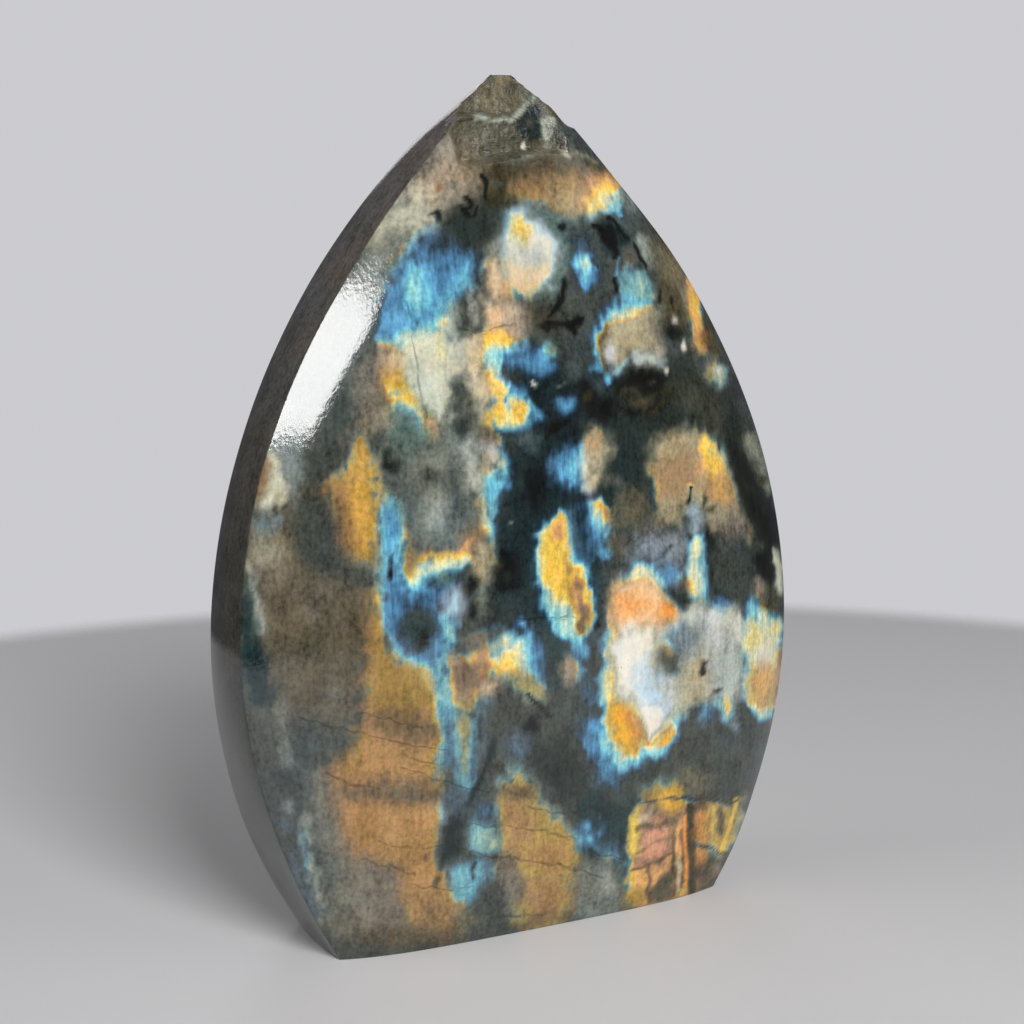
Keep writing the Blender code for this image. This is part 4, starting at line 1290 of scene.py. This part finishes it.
def rounded_corner(before, corner, after, radius, steps):
    """For each level, (1-t)^2 start + 2t(1-t) corner + t^2 end, from one side to the next."""
    def leave(towards):
        away = towards - corner
        length = np.linalg.norm(away, axis=1)
        return corner + away * np.minimum(radius / length, CORNER_SHARE)[:, None]

    start, end = leave(before)[:, None], leave(after)[:, None]
    t = np.linspace(0.0, 1.0, steps + 1)[None, :, None]
    return (1 - t) ** 2 * start + 2 * t * (1 - t) * corner[:, None] + t**2 * end


def stone_surface():
    """Points of the stone on a grid of levels and places around each level.

    Each level has a front and a back that follow dome(u), two walls that swell by 1 - v^2, and
    quadratic corners. The levels lie at height (t + TIP_CROWDING t sin pi t), t = 0 to 1. Also
    gives which side each column is on and, in a corner, how far it is on to the next.
    """
    t = np.linspace(0.0, 1.0, ROWS)
    heights = HEIGHT * (t + TIP_CROWDING * np.sin(math.pi * t) * t)
    left, right, wall, front_dome, depth = (smooth_column(heights, k) for k in range(1, 6))
    front_y = FRONT_LEAN * heights - MIDDLE_Y
    back_y = front_y + wall
    soft = np.exp(-(((heights - EDGE_SOFT_HEIGHT) / EDGE_SOFT_REACH) ** 2))
    radius = EDGE_ROUND + EDGE_SOFT * soft
    middle = (right - left) / 2
    half = (right + left) / 2

    def face(steps, outward):
        u = np.linspace(-1.0, 1.0, steps + 1)
        u = np.sin(u * math.pi / 2) * SIDE_CROWDING + u * (1.0 - SIDE_CROWDING)
        if outward < 0:
            x = middle[:, None] + u * half[:, None]
            y = front_y[:, None] - front_dome[:, None] * dome(u)
        else:
            x = middle[:, None] - u * half[:, None]
            y = back_y[:, None] + (depth - wall)[:, None] * dome(u)
        return np.stack((x, y), 2)

    v = np.linspace(-1.0, 1.0, WALL_STEPS + 1)
    swell = WALL_CROWN * np.minimum(1.0, half / FULL_SWELL_HALF)[:, None] * (1.0 - v**2)
    wall_y = ((front_y + back_y) / 2)[:, None] + v * (wall / 2)[:, None]
    right_wall = np.stack((right[:, None] + swell, wall_y), 2)
    left_wall = np.stack((-left[:, None] - swell, wall_y), 2)[:, ::-1]

    sides = (face(FACE_STEPS, -1), right_wall, face(BACK_STEPS, 1), left_wall)
    parts, names = [], []
    for k, side in enumerate(sides):
        following = sides[(k + 1) % 4]
        corner = rounded_corner(side[:, -2], side[:, -1], following[:, 1], radius, EDGE_STEPS)
        parts += [side[:, 1:-1], corner]
        names += [np.full(side.shape[1] - 2, float(k)), k + np.linspace(0.0, 1.0, EDGE_STEPS + 1)]
    flat = np.concatenate(parts, axis=1) - (MIDDLE_X, 0.0)
    z = np.repeat(heights[:, None], flat.shape[1], axis=1)
    return np.dstack((flat, z)), np.concatenate(names)


def turned_axes(heading, looks_up, roll):
    """The three axes of a break: roll about Y, then tilt about X, then heading about Z."""
    h, p, r = (math.radians(a) for a in (heading, -looks_up, roll))
    about_z = np.array(((math.cos(h), -math.sin(h), 0), (math.sin(h), math.cos(h), 0), (0, 0, 1)))
    about_x = np.array(((1, 0, 0), (0, math.cos(p), -math.sin(p)), (0, math.sin(p), math.cos(p))))
    about_y = np.array(((math.cos(r), 0, math.sin(r)), (0, 1, 0), (-math.sin(r), 0, math.cos(r))))
    return about_z @ about_x @ about_y


def break_away(points, roughness):
    """Move the points in front of each break back onto its plane, and roughen them there.

    Along Y the plane lies at y = y0 - (nx (x - x0) + nz (z - z0)) / ny. A point goes the whole
    way to it well inside the break, and less of the way near the break's rim, which is soft.
    The roughness is |noise| of three sizes. Behind TIP_RIDGE the tip's top falls away to the
    back. Gives the moved points and how broken each is, from 0 to 1.
    """
    points = points.copy()
    broken = np.zeros(points.shape[:2])
    worn = np.zeros(points.shape[:2])
    x, z = points[..., 0], points[..., 2]
    for place, heading, looks_up, roll, width, height in BREAKS.values():
        axes = turned_axes(heading, looks_up, roll)
        across, outward, up = axes[:, 0], -axes[:, 1], axes[:, 2]
        x0, y0, z0 = np.array(place) * MM
        plane_y = y0 - (outward[0] * (x - x0) + outward[2] * (z - z0)) / outward[1]
        offset = np.stack((x - x0, points[..., 1] - y0, z - z0), -1)
        share = np.minimum(smooth_step(0.0, BREAK_SIDES, width * MM / 2 - np.abs(offset @ across)),
                           smooth_step(0.0, BREAK_BEVEL, height * MM / 2 - np.abs(offset @ up)))
        depth = plane_y - points[..., 1]
        moved = (depth > 0) & (share > 0)
        points[..., 1] += np.where(moved, depth * share, 0.0)
        broken = np.maximum(broken, np.where(moved, np.minimum(BREAK_DULLING * share, 1.0), 0.0))
        worn = np.maximum(worn, np.where(moved, share, 0.0))
    slant = z + RIDGE_SLANT * x
    ridges = 0.0
    for size, share, seed in BREAK_RIDGES:
        noise = value_noise(x / (size * MM), slant / (RIDGE_SQUASH * size * MM), seed)
        ridges = ridges + share * np.abs(noise)
    points[..., 1] += worn * roughness * ridges
    behind = np.maximum(points[..., 1] - TIP_RIDGE, 0.0)
    points[..., 2] -= TIP_FALL * behind * smooth_step(HEIGHT - TIP_FALL_HEIGHT, HEIGHT, z)
    return points, broken


def camera_pixels(points):
    """Where points fall in the photograph: 512 + f right/depth, 512 - f up/depth."""
    turn = np.array(Euler(CAMERA_TURN).to_matrix())
    seen = (points - np.array(CAMERA_PLACE)) @ turn
    centre = FRAME_PIXELS / 2
    u = centre + FOCAL_PIXELS * seen[..., 0] / -seen[..., 2]
    v = centre - FOCAL_PIXELS * seen[..., 1] / -seen[..., 2]
    return np.stack((u, v), -1)


def ring_quads(rows, count):
    """Numbers of the points on a grid of closed rings, and the quads between its rings."""
    corner = np.arange(rows * count).reshape(rows, count)
    ahead = np.roll(corner, -1, axis=1)
    quads = np.stack((corner[:-1], ahead[:-1], ahead[1:], corner[1:]), -1).reshape(-1, 4)
    return corner, quads.tolist()


def grid_mesh(name, points):
    """A closed tube of quads through the grid, with a flat face at its foot and its tip."""
    corner, quads = ring_quads(*points.shape[:2])
    faces = quads + [corner[0, ::-1].tolist(), corner[-1].tolist()]
    mesh = bpy.data.meshes.new(name)
    mesh.from_pydata(points.reshape(-1, 3).tolist(), [], faces)
    mesh.validate()
    return mesh


def store(mesh, name, values):
    """Keep one value, or one colour, for each vertex as an attribute of the mesh."""
    if values.ndim == 1:
        mesh.attributes.new(name, "FLOAT", "POINT").data.foreach_set("value", values)
        return
    colours = np.column_stack((values, np.ones(len(values))))
    mesh.attributes.new(name, "FLOAT_COLOR", "POINT").data.foreach_set("color", colours.ravel())


def linear(colour):
    """A colour given from 0 to 255 as it looks on a screen, as light."""
    share = np.asarray(colour, float) / 255.0
    return np.where(share <= 0.04045, share / 12.92, ((share + 0.055) / 1.055) ** 2.4)


def under_gloss(colour):
    """A photographed colour as light, without the light that the polish mirrors."""
    return np.maximum(linear(colour) - GLOSS_LIGHT, GLOSS_LEAST * linear(colour))


def wall_tone(height):
    """Dark side walls: brown near the tip, olive grey in the middle, slate near the foot."""
    levels = np.array((0.0, 30.0, 62.0, 92.0, 119.8)) * MM
    tones = linear(((76, 80, 80), (60, 63, 63), (72, 71, 66), (94, 91, 89), (98, 90, 88)))
    return np.stack([np.interp(height, levels, tones[:, k]) for k in range(3)], -1)


def back_zones(points):
    """Quiet zones for the back: bands of noise that run up the stone, each with its own level.

    Every noise is stretched upwards, and its two divisors are its sizes in millimetres.
    """
    x, z = points[:, 0] / MM, points[:, 2] / MM
    bend = 4.0 * value_noise(x / 16, z / 20, 41) + 1.5 * value_noise(x / 5, z / 9, 42)
    zone = 0.65 * value_noise((x + bend) / 13, z / 24, 43) + 0.35 * value_noise((x - bend) / 6, z / 12, 44)
    level = 0.45 + 0.5 * value_noise((x + 3 * bend) / 22, z / 34, 45)
    mottle = 0.6 * value_noise((x + bend) / 9, z / 16, 46) + 0.4 * value_noise(x / 2.5, z / 6, 47)
    dark, pale = linear((46, 50, 48)), linear((100, 98, 86))
    share = smooth_step(-0.8, 0.9, mottle)[:, None]
    rim = smooth_step(0.02, 0.30, zone)
    pitted = value_noise(x / 1.6, z / 2.4, 48) * value_noise(x / 9, z / 9, 49) + 0.25
    return {
        "tone": dark * (1 - share) + pale * share,
        "level": np.clip(0.1 + (level - 0.1) * smooth_step(0.02, 0.45, zone), 0.0, 1.0),
        "flash": 0.75 * rim,
        "silver": np.zeros(len(x)),
        "pit": smooth_step(*PIT_BAND, pitted),
    }


def face_channels(points, columns):
    """What the surface shows at each point, from the marks, the walls' tones with painted shade along the
    left wall's rear corner, and the back's zones.
    """
    flat = points.reshape(-1, 3)
    side = np.tile(columns, points.shape[0])
    pixels = camera_pixels(flat)
    shown = blank_channels(len(flat))
    fronts = np.flatnonzero((side < FRONT_ENDS[0]) | (side > FRONT_ENDS[1]))
    part = {name: values[fronts].copy() for name, values in shown.items()}
    places = warped(pixels[fronts])
    paint_marks(places, part, MARKS, PAINTS)
    draw_cracks(places, part, CRACK_LINES)
    for name, values in part.items():
        shown[name][fronts] = values
    shown["tone"] = under_gloss(shown["tone"])

    back = back_zones(flat)
    to_back = smooth_step(*INTO_BACK, side) * (1 - smooth_step(*OUT_OF_BACK, side))
    to_wall = smooth_step(*OUT_OF_BACK, side) * (1 - smooth_step(*OUT_OF_LEFT_WALL, side))
    # Painted shade: the walls' tone is darkened along the left wall's rounded rear corner.
    rear = 1 - REAR_EDGE_SHADE * smooth_step(*REAR_EDGE_SHADE_IN, side) * (1 - smooth_step(*REAR_EDGE_SHADE_OUT, side))
    on_right = RIGHT_WALL_SHARE * smooth_step(*INTO_RIGHT_WALL, side) * (side < RIGHT_WALL_END)
    to_wall = to_wall + on_right * (1 - to_back)
    plain = {"tone": wall_tone(flat[:, 2]) * rear[:, None], "level": WARM}
    for name, values in back.items():
        shape = (-1, 1) if values.ndim == 2 else (-1,)
        shown[name] += (values - shown[name]) * to_back.reshape(shape)
        shown[name] += (plain.get(name, 0.0) - shown[name]) * to_wall.reshape(shape)
    return shown


def add_node(tree, kind, inputs=None, **settings):
    """A node of this kind, with its settings, and its inputs linked or set by name or place."""
    made = tree.nodes.new(kind)
    for name, value in settings.items():
        setattr(made, name, value)
    for name, value in (inputs or {}).items():
        if isinstance(value, bpy.types.NodeSocket):
            tree.links.new(value, made.inputs[name])
        else:
            made.inputs[name].default_value = value
    return made


def empty_material(name):
    """A new material with nothing in its node tree, and that tree."""
    material = bpy.data.materials.new(name)
    material.use_nodes = True
    material.node_tree.nodes.clear()
    return material, material.node_tree


def calculate(tree, operation, *values, clamp=False):
    """The result of a Math node."""
    inputs = dict(enumerate(values))
    return add_node(tree, "ShaderNodeMath", inputs, operation=operation, use_clamp=clamp).outputs[0]


def blend_colours(tree, share, low, high, blend="MIX"):
    """The colour that goes from low to high as the share goes from 0 to 1."""
    inputs = {0: share, 6: low, 7: high}
    made = add_node(tree, "ShaderNodeMix", inputs, data_type="RGBA", blend_type=blend)
    return made.outputs[2]


def ripple(tree, places, scale, detail):
    """Noise on the stone's own coordinates, -1 to 1, at this many ripples a metre each way."""
    stretched = add_node(tree, "ShaderNodeMapping", {"Vector": places, "Scale": scale})
    noise = add_node(tree, "ShaderNodeTexNoise",
                     {"Vector": stretched.outputs[0], "Scale": 1.0, "Detail": detail, "Roughness": 0.55})
    centred = calculate(tree, "SUBTRACT", noise.outputs["Fac"], 0.5)
    return calculate(tree, "MULTIPLY", centred, RIPPLE_GAIN)


def streaks_group():
    """How the stone varies from place to place, the same for every zone: outputs from -1 to 1.

    Streak is 0.6 of a fine ripple and 0.4 of a coarse one, both long from foot to tip. Grain is
    an even ripple of crystals. Mottle is a broad ripple with many finer ones in it, and Warmth
    a broader one that turns the stone brown or grey.
    """
    tree = bpy.data.node_groups.new("stone_streaks", "ShaderNodeTree")
    for name in PATTERNS:
        tree.interface.new_socket(name, in_out="OUTPUT", socket_type="NodeSocketFloat")
    places = add_node(tree, "ShaderNodeTexCoord").outputs["Object"]
    fine = calculate(tree, "MULTIPLY", ripple(tree, places, FINE_STREAKS, 2.0), 0.6)
    coarse = calculate(tree, "MULTIPLY", ripple(tree, places, COARSE_STREAKS, 2.0), 0.4)
    outputs = {"Streak": calculate(tree, "ADD", fine, coarse), "Grain": ripple(tree, places, CRYSTALS, 3.0),
               "Mottle": ripple(tree, places, MOTTLES, 5.0), "Warmth": ripple(tree, places, WARMTHS, 3.0)}
    add_node(tree, "NodeGroupOutput", outputs)
    return tree


def sheen_group():
    """The stone's colour: sheen of the given level and strength over its own tone.

    Colour = mix(tone, ramp(level), strength), then silver over it, then darkened in specks,
    cracks and hollows. The paler a tone, the less it is mottled.
    """
    tree = bpy.data.node_groups.new("labradorescence", "ShaderNodeTree")
    face = tree.interface
    for name in ("Level", "Strength", "Silver", "Dark", *PATTERNS):
        face.new_socket(name, in_out="INPUT", socket_type="NodeSocketFloat")
    face.new_socket("Tone", in_out="INPUT", socket_type="NodeSocketColor")
    face.new_socket("Color", in_out="OUTPUT", socket_type="NodeSocketColor")
    given = add_node(tree, "NodeGroupInput").outputs

    def varied(value, **amounts):
        """The value times 1 + the sum of each pattern times its amount."""
        total = 1.0
        for name, amount in amounts.items():
            total = calculate(tree, "MULTIPLY_ADD", given[name], amount, total)
        return calculate(tree, "MULTIPLY", value, calculate(tree, "MAXIMUM", total, PATTERN_LEAST))

    shifted = calculate(tree, "MULTIPLY_ADD", given["Streak"], STREAK_SHIFT, given["Level"])
    shifted = calculate(tree, "MULTIPLY_ADD", given["Mottle"], MOTTLE_SHIFT, shifted, clamp=True)
    ramp = add_node(tree, "ShaderNodeValToRGB", {0: shifted})
    stops = ramp.color_ramp.elements
    while len(stops) < len(SHEEN_RAMP):
        stops.new(0.5)
    for stop, (place, colour) in zip(stops, SHEEN_RAMP):
        stop.position = place
        stop.color = (*under_gloss(colour), 1.0)
    warm = calculate(tree, "MULTIPLY_ADD", given["Warmth"], 0.5, 0.5, clamp=True)
    hue = blend_colours(tree, warm, (*COOL_CAST, 1.0), (*WARM_CAST, 1.0))
    tinted = blend_colours(tree, 1.0, given["Tone"], hue, "MULTIPLY")
    shade = varied(1.0, Streak=0.26, Grain=0.42, Mottle=0.42)
    pale = add_node(tree, "ShaderNodeRGBToBW", {"Color": given["Tone"]}).outputs[0]
    shade = blend_colours(tree, pale, shade, (1.0, 1.0, 1.0, 1.0))
    body = blend_colours(tree, 1.0, tinted, shade, "MULTIPLY")
    glint = varied(1.0, Streak=0.16, Grain=0.24, Mottle=0.15)
    glow = blend_colours(tree, 1.0, ramp.outputs[0], glint, "MULTIPLY")
    strength = calculate(tree, "MINIMUM", varied(given["Strength"], Streak=0.14, Mottle=0.16), 1.0)
    colour = blend_colours(tree, strength, body, glow)
    silvered = calculate(tree, "MINIMUM", varied(given["Silver"], Streak=0.12, Mottle=0.12), 1.0)
    colour = blend_colours(tree, silvered, colour, (*linear(SILVER_TONE), 1.0))
    kept = calculate(tree, "MULTIPLY_ADD", given["Dark"], -1.0, 1.0, clamp=True)
    add_node(tree, "NodeGroupOutput", {"Color": blend_colours(tree, 1.0, colour, kept, "MULTIPLY")})
    return tree


def stone_material(settings):
    """Polished labradorite: sheen over dark stone, a high polish, dull only where it is broken."""
    material, tree = empty_material("polished_labradorite")

    def kept(name, output="Fac"):
        return add_node(tree, "ShaderNodeAttribute", attribute_name=name).outputs[output]

    streaks = add_node(tree, "ShaderNodeGroup", node_tree=streaks_group())
    sheen = add_node(tree, "ShaderNodeGroup", node_tree=sheen_group())
    hollow, broken = kept("hollow"), kept("broken")

    def band(value, low, high):
        """0 below low, 1 above high, eased between."""
        ends = {"Value": value, "From Min": low, "From Max": high}
        return add_node(tree, "ShaderNodeMapRange", ends, interpolation_type="SMOOTHSTEP").outputs[0]

    specks = band(streaks.outputs["Grain"], *SPECK_BAND)
    dark = calculate(tree, "MULTIPLY", specks, SPECK_DARK)
    for name in CRACK_LINES:
        away = calculate(tree, "ABSOLUTE", kept(name + "_side"))
        wander = calculate(tree, "MULTIPLY_ADD", streaks.outputs["Mottle"], CRACK_WANDER, away)
        crack = calculate(tree, "SUBTRACT", 1.0, band(wander, CRACK_CORE, CRACK_RIM))
        crack = calculate(tree, "MULTIPLY", crack, band(kept(name + "_near"), *CRACK_NEAR_BAND))
        crack = calculate(tree, "MULTIPLY", crack, band(streaks.outputs["Streak"], *CRACK_BREAK_BAND))
        dark = calculate(tree, "MAXIMUM", dark, calculate(tree, "MULTIPLY", crack, CRACK_DARK))
    dark = calculate(tree, "MAXIMUM", dark, calculate(tree, "MULTIPLY", hollow, HOLLOW_DARK))
    sources = {"Level": kept("sheen_level"), "Strength": kept("sheen_strength"), "Silver": kept("silver"),
               "Tone": kept("body_tone", "Color"), "Dark": dark}
    sources.update({name: streaks.outputs[name] for name in PATTERNS})
    for name, source in sources.items():
        tree.links.new(source, sheen.inputs[name])
    places = add_node(tree, "ShaderNodeTexCoord").outputs["Object"]
    smears = ripple(tree, places, SMEARS, 3.0)
    polish = calculate(tree, "MULTIPLY_ADD", smears, SMEAR_SHIFT, settings.polish_roughness)
    dull = calculate(tree, "MULTIPLY_ADD", broken, BROKEN_ROUGHNESS - settings.polish_roughness, polish)
    roughness = calculate(tree, "MULTIPLY_ADD", hollow, HOLLOW_DULL, dull, clamp=True)
    waves = ripple(tree, places, POLISH_WAVES, 2.0)
    chips = calculate(tree, "MULTIPLY", ripple(tree, places, BREAK_GRAIN, 4.0), broken)
    fine = calculate(tree, "MULTIPLY", waves, POLISH_RELIEF)
    relief = calculate(tree, "MULTIPLY_ADD", chips, BREAK_RELIEF, fine)
    bump = add_node(tree, "ShaderNodeBump", {"Height": relief, "Distance": 1.0, "Strength": 1.0})
    surface = add_node(tree, "ShaderNodeBsdfPrincipled",
                       {"Base Color": sheen.outputs["Color"], "Roughness": roughness, "IOR": STONE_IOR,
                        "Normal": bump.outputs[0]})
    add_node(tree, "ShaderNodeOutputMaterial", {"Surface": surface.outputs[0]})
    return material


def floor_material(settings):
    """A pale matt floor whose rim fades away."""
    material, tree = empty_material("pale_floor")
    places = add_node(tree, "ShaderNodeTexCoord").outputs["Object"]
    to_centre = (-FLOOR_CENTRE[0], -FLOOR_CENTRE[1], 0)
    centred = add_node(tree, "ShaderNodeMapping", {"Vector": places, "Location": to_centre})
    measured = add_node(tree, "ShaderNodeVectorMath", {0: centred.outputs[0]}, operation="LENGTH")
    ends = {"Value": measured.outputs["Value"], "From Min": settings.floor_radius - FLOOR_FADE,
            "From Max": settings.floor_radius, "To Min": 1.0, "To Max": 0.0}
    fade = add_node(tree, "ShaderNodeMapRange", ends, interpolation_type="SMOOTHSTEP")
    surface = add_node(tree, "ShaderNodeBsdfPrincipled",
                       {"Base Color": (*settings.floor_colour, 1.0), "Roughness": FLOOR_ROUGHNESS,
                        "Alpha": fade.outputs[0]})
    add_node(tree, "ShaderNodeOutputMaterial", {"Surface": surface.outputs[0]})
    return material


def disc_mesh(name, centre, radius, height):
    """Rings of points, x = r cos a and y = r sin a, with one face in the middle."""
    angles = np.linspace(0.0, 2 * math.pi, FLOOR_SIDES, endpoint=False)
    rings = radius * np.linspace(1.0, 0.0, FLOOR_RINGS, endpoint=False)[:, None]
    x = centre[0] + rings * np.cos(angles)
    y = centre[1] + rings * np.sin(angles)
    points = np.dstack((x, y, np.full(x.shape, height))).reshape(-1, 3)
    corner, quads = ring_quads(FLOOR_RINGS, FLOOR_SIDES)
    mesh = bpy.data.meshes.new(name)
    mesh.from_pydata(points.tolist(), [], quads + [corner[-1].tolist()])
    return mesh


def soft_light(name, place, size, power, in_polish):
    """A square lamp that faces the stone, seen in its polish or not."""
    lamp = bpy.data.lights.new(name, "AREA")
    lamp.size = size
    lamp.energy = power
    item = bpy.data.objects.new(name, lamp)
    item.location = place
    item.rotation_euler = (Vector(LIGHT_AIM) - Vector(place)).to_track_quat("-Z", "Y").to_euler()
    item.visible_glossy = in_polish
    bpy.context.scene.collection.objects.link(item)


def light_window(name, strength):
    """A four-cornered sheet of light that shows in the polish alone."""
    corners = []
    for across, up in WINDOW_CORNERS:
        a, e = math.radians(across), math.radians(up)
        bearing = Vector((math.sin(a) * math.cos(e), -math.cos(a) * math.cos(e), math.sin(e)))
        corners.append(Vector(WINDOW_FROM) + bearing * WINDOW_AWAY)
    mesh = bpy.data.meshes.new(name)
    mesh.from_pydata(corners, [], [(0, 1, 2, 3)])
    material, tree = empty_material(name)
    glow = add_node(tree, "ShaderNodeEmission", {"Strength": strength})
    add_node(tree, "ShaderNodeOutputMaterial", {"Surface": glow.outputs[0]})
    item = show(name, mesh, material)
    item.visible_camera = False
    item.visible_diffuse = False
    item.visible_shadow = False


def studio_air(settings):
    """Pale to the eye, dim to everything that it lights, so the polished walls stay dark."""
    world = bpy.data.worlds.new("studio")
    bpy.context.scene.world = world
    world.use_nodes = True
    tree = world.node_tree
    tree.nodes.clear()
    seen = add_node(tree, "ShaderNodeLightPath").outputs["Is Camera Ray"]
    pale = (*settings.backdrop_colour, 1.0)
    dim = add_node(tree, "ShaderNodeBackground", {"Color": pale, "Strength": settings.air_strength})
    plain = add_node(tree, "ShaderNodeBackground", {"Color": pale, "Strength": 1.0})
    shown = add_node(tree, "ShaderNodeMixShader", {0: seen, 1: dim.outputs[0], 2: plain.outputs[0]})
    add_node(tree, "ShaderNodeOutputWorld", {"Surface": shown.outputs[0]})


def photograph_camera():
    """The camera that the photograph was taken with, found from the stone's base and outline."""
    lens = bpy.data.cameras.new("photograph_camera")
    lens.sensor_width = SENSOR
    lens.lens = FOCAL_PIXELS / FRAME_PIXELS * SENSOR
    lens.clip_start = 0.01
    lens.clip_end = 20.0
    item = bpy.data.objects.new("photograph_camera", lens)
    item.location = CAMERA_PLACE
    item.rotation_euler = CAMERA_TURN
    bpy.context.scene.collection.objects.link(item)
    bpy.context.scene.camera = item


def show(name, mesh, material):
    """Put a finished mesh in the scene with its material."""
    mesh.materials.append(material)
    item = bpy.data.objects.new(name, mesh)
    bpy.context.scene.collection.objects.link(item)
    return item


class FlameStoneSettings(bpy.types.PropertyGroup):
    """The stone's finish."""

    polish_roughness: bpy.props.FloatProperty(
        name="Polish roughness", description="Roughness of the polished faces and walls",
        default=0.09, min=0.0, max=1.0, subtype="FACTOR")
    pit_depth: bpy.props.FloatProperty(
        name="Pit depth", description="How deep the small pits are",
        default=0.25 * MM, min=0.0, unit="LENGTH", precision=5)
    break_roughness: bpy.props.FloatProperty(
        name="Broken tip relief", description="How far the broken surface at the tip goes in and out",
        default=1.1 * MM, min=0.0, unit="LENGTH", precision=5)


class FlameStageSettings(bpy.types.PropertyGroup):
    """The plain stage."""

    floor_radius: bpy.props.FloatProperty(
        name="Floor radius", description="Radius of the pale floor",
        default=0.2565, min=0.05, unit="LENGTH")
    floor_colour: bpy.props.FloatVectorProperty(
        name="Floor colour", description="Colour of the pale floor",
        default=(0.73, 0.72, 0.73), size=3, min=0.0, max=1.0, subtype="COLOR")
    backdrop_colour: bpy.props.FloatVectorProperty(
        name="Backdrop colour", description="Colour behind the floor",
        default=(0.60, 0.60, 0.63), size=3, min=0.0, max=1.0, subtype="COLOR")
    key_power: bpy.props.FloatProperty(
        name="Key light", description="Power of the soft light above the camera",
        default=5.35, min=0.0, unit="POWER")
    fill_power: bpy.props.FloatProperty(
        name="Fill light", description="Power of the soft light at the right",
        default=0.6, min=0.0, unit="POWER")
    back_power: bpy.props.FloatProperty(
        name="Back light", description="Power of the soft light behind the stone",
        default=0.5, min=0.0, unit="POWER")
    side_power: bpy.props.FloatProperty(
        name="Side light", description="Power of the soft light at the left",
        default=0.7, min=0.0, unit="POWER")
    window_strength: bpy.props.FloatProperty(
        name="Window strength", description="Brightness of the window that shows in the polish",
        default=18.0, min=0.0)
    air_strength: bpy.props.FloatProperty(
        name="Air strength", description="Brightness of the air around the stage",
        default=0.15, min=0.0)


class FLAME_OT_stone(bpy.types.Operator):
    """Build the polished flame: its surface, its colour zones and its finish"""

    bl_idname = "flame.stone"
    bl_label = "Flame stone"

    def execute(self, context):
        settings = context.scene.flame_stone
        points, columns = stone_surface()
        points, broken = break_away(points, settings.break_roughness)
        shown = face_channels(points, columns)
        points = sink_pits(points, shown["pit"], settings.pit_depth)
        points = inside_box(points)
        mesh = grid_mesh("labradorite_flame", points)
        for name, channel in STORED.items():
            store(mesh, name, shown[channel])
        store(mesh, "broken", broken.ravel())
        stone = show("labradorite_flame", mesh, stone_material(settings))
        smooth_faces(mesh, points.shape[1])
        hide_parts(NODE)
        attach(stone, "root")
        return {"FINISHED"}


class FLAME_OT_stage(bpy.types.Operator):
    """Build the plain floor, the soft lights and the photograph's camera"""

    bl_idname = "flame.stage"
    bl_label = "Stage"

    def execute(self, context):
        settings = context.scene.flame_stage
        mesh = disc_mesh("pale_floor", FLOOR_CENTRE, settings.floor_radius, FLOOR_HEIGHT)
        floor = show("pale_floor", mesh, floor_material(settings))
        soft_light("key_light", KEY_PLACE, KEY_SIZE, settings.key_power, in_polish=False)
        soft_light("fill_light", FILL_PLACE, FILL_SIZE, settings.fill_power, in_polish=True)
        soft_light("back_light", BACK_PLACE, BACK_SIZE, settings.back_power, in_polish=True)
        soft_light("side_light", SIDE_PLACE, SIDE_SIZE, settings.side_power, in_polish=False)
        light_window("shoulder_window", settings.window_strength)
        studio_air(settings)
        photograph_camera()
        context.scene.view_settings.view_transform = "Standard"
        return {"FINISHED"}


class FLAME_PT_panel(bpy.types.Panel):
    """Settings and operators of the flame and its stage"""

    bl_idname = "FLAME_PT_panel"
    bl_label = "Labradorite Flame"
    bl_space_type = "VIEW_3D"
    bl_region_type = "UI"
    bl_category = "Flame"

    def draw(self, context):
        for settings, operator in ((context.scene.flame_stone, "flame.stone"),
                                   (context.scene.flame_stage, "flame.stage")):
            box = self.layout.box()
            for name in settings.__annotations__:
                box.prop(settings, name)
            box.operator(operator)


CLASSES = (FlameStoneSettings, FlameStageSettings, FLAME_OT_stone, FLAME_OT_stage, FLAME_PT_panel)


def register():
    """Add the settings, the operators and the panel to Blender."""
    for kind in CLASSES:
        bpy.utils.register_class(kind)
    bpy.types.Scene.flame_stone = bpy.props.PointerProperty(type=FlameStoneSettings)
    bpy.types.Scene.flame_stage = bpy.props.PointerProperty(type=FlameStageSettings)


def unregister():
    """Take them out again, in the opposite order."""
    del bpy.types.Scene.flame_stage
    del bpy.types.Scene.flame_stone
    for kind in reversed(CLASSES):
        bpy.utils.unregister_class(kind)


def main():
    """Build the stone and the stage."""
    register()
    bpy.ops.flame.stone()
    bpy.ops.flame.stage()


if __name__ == "__main__":
    main()
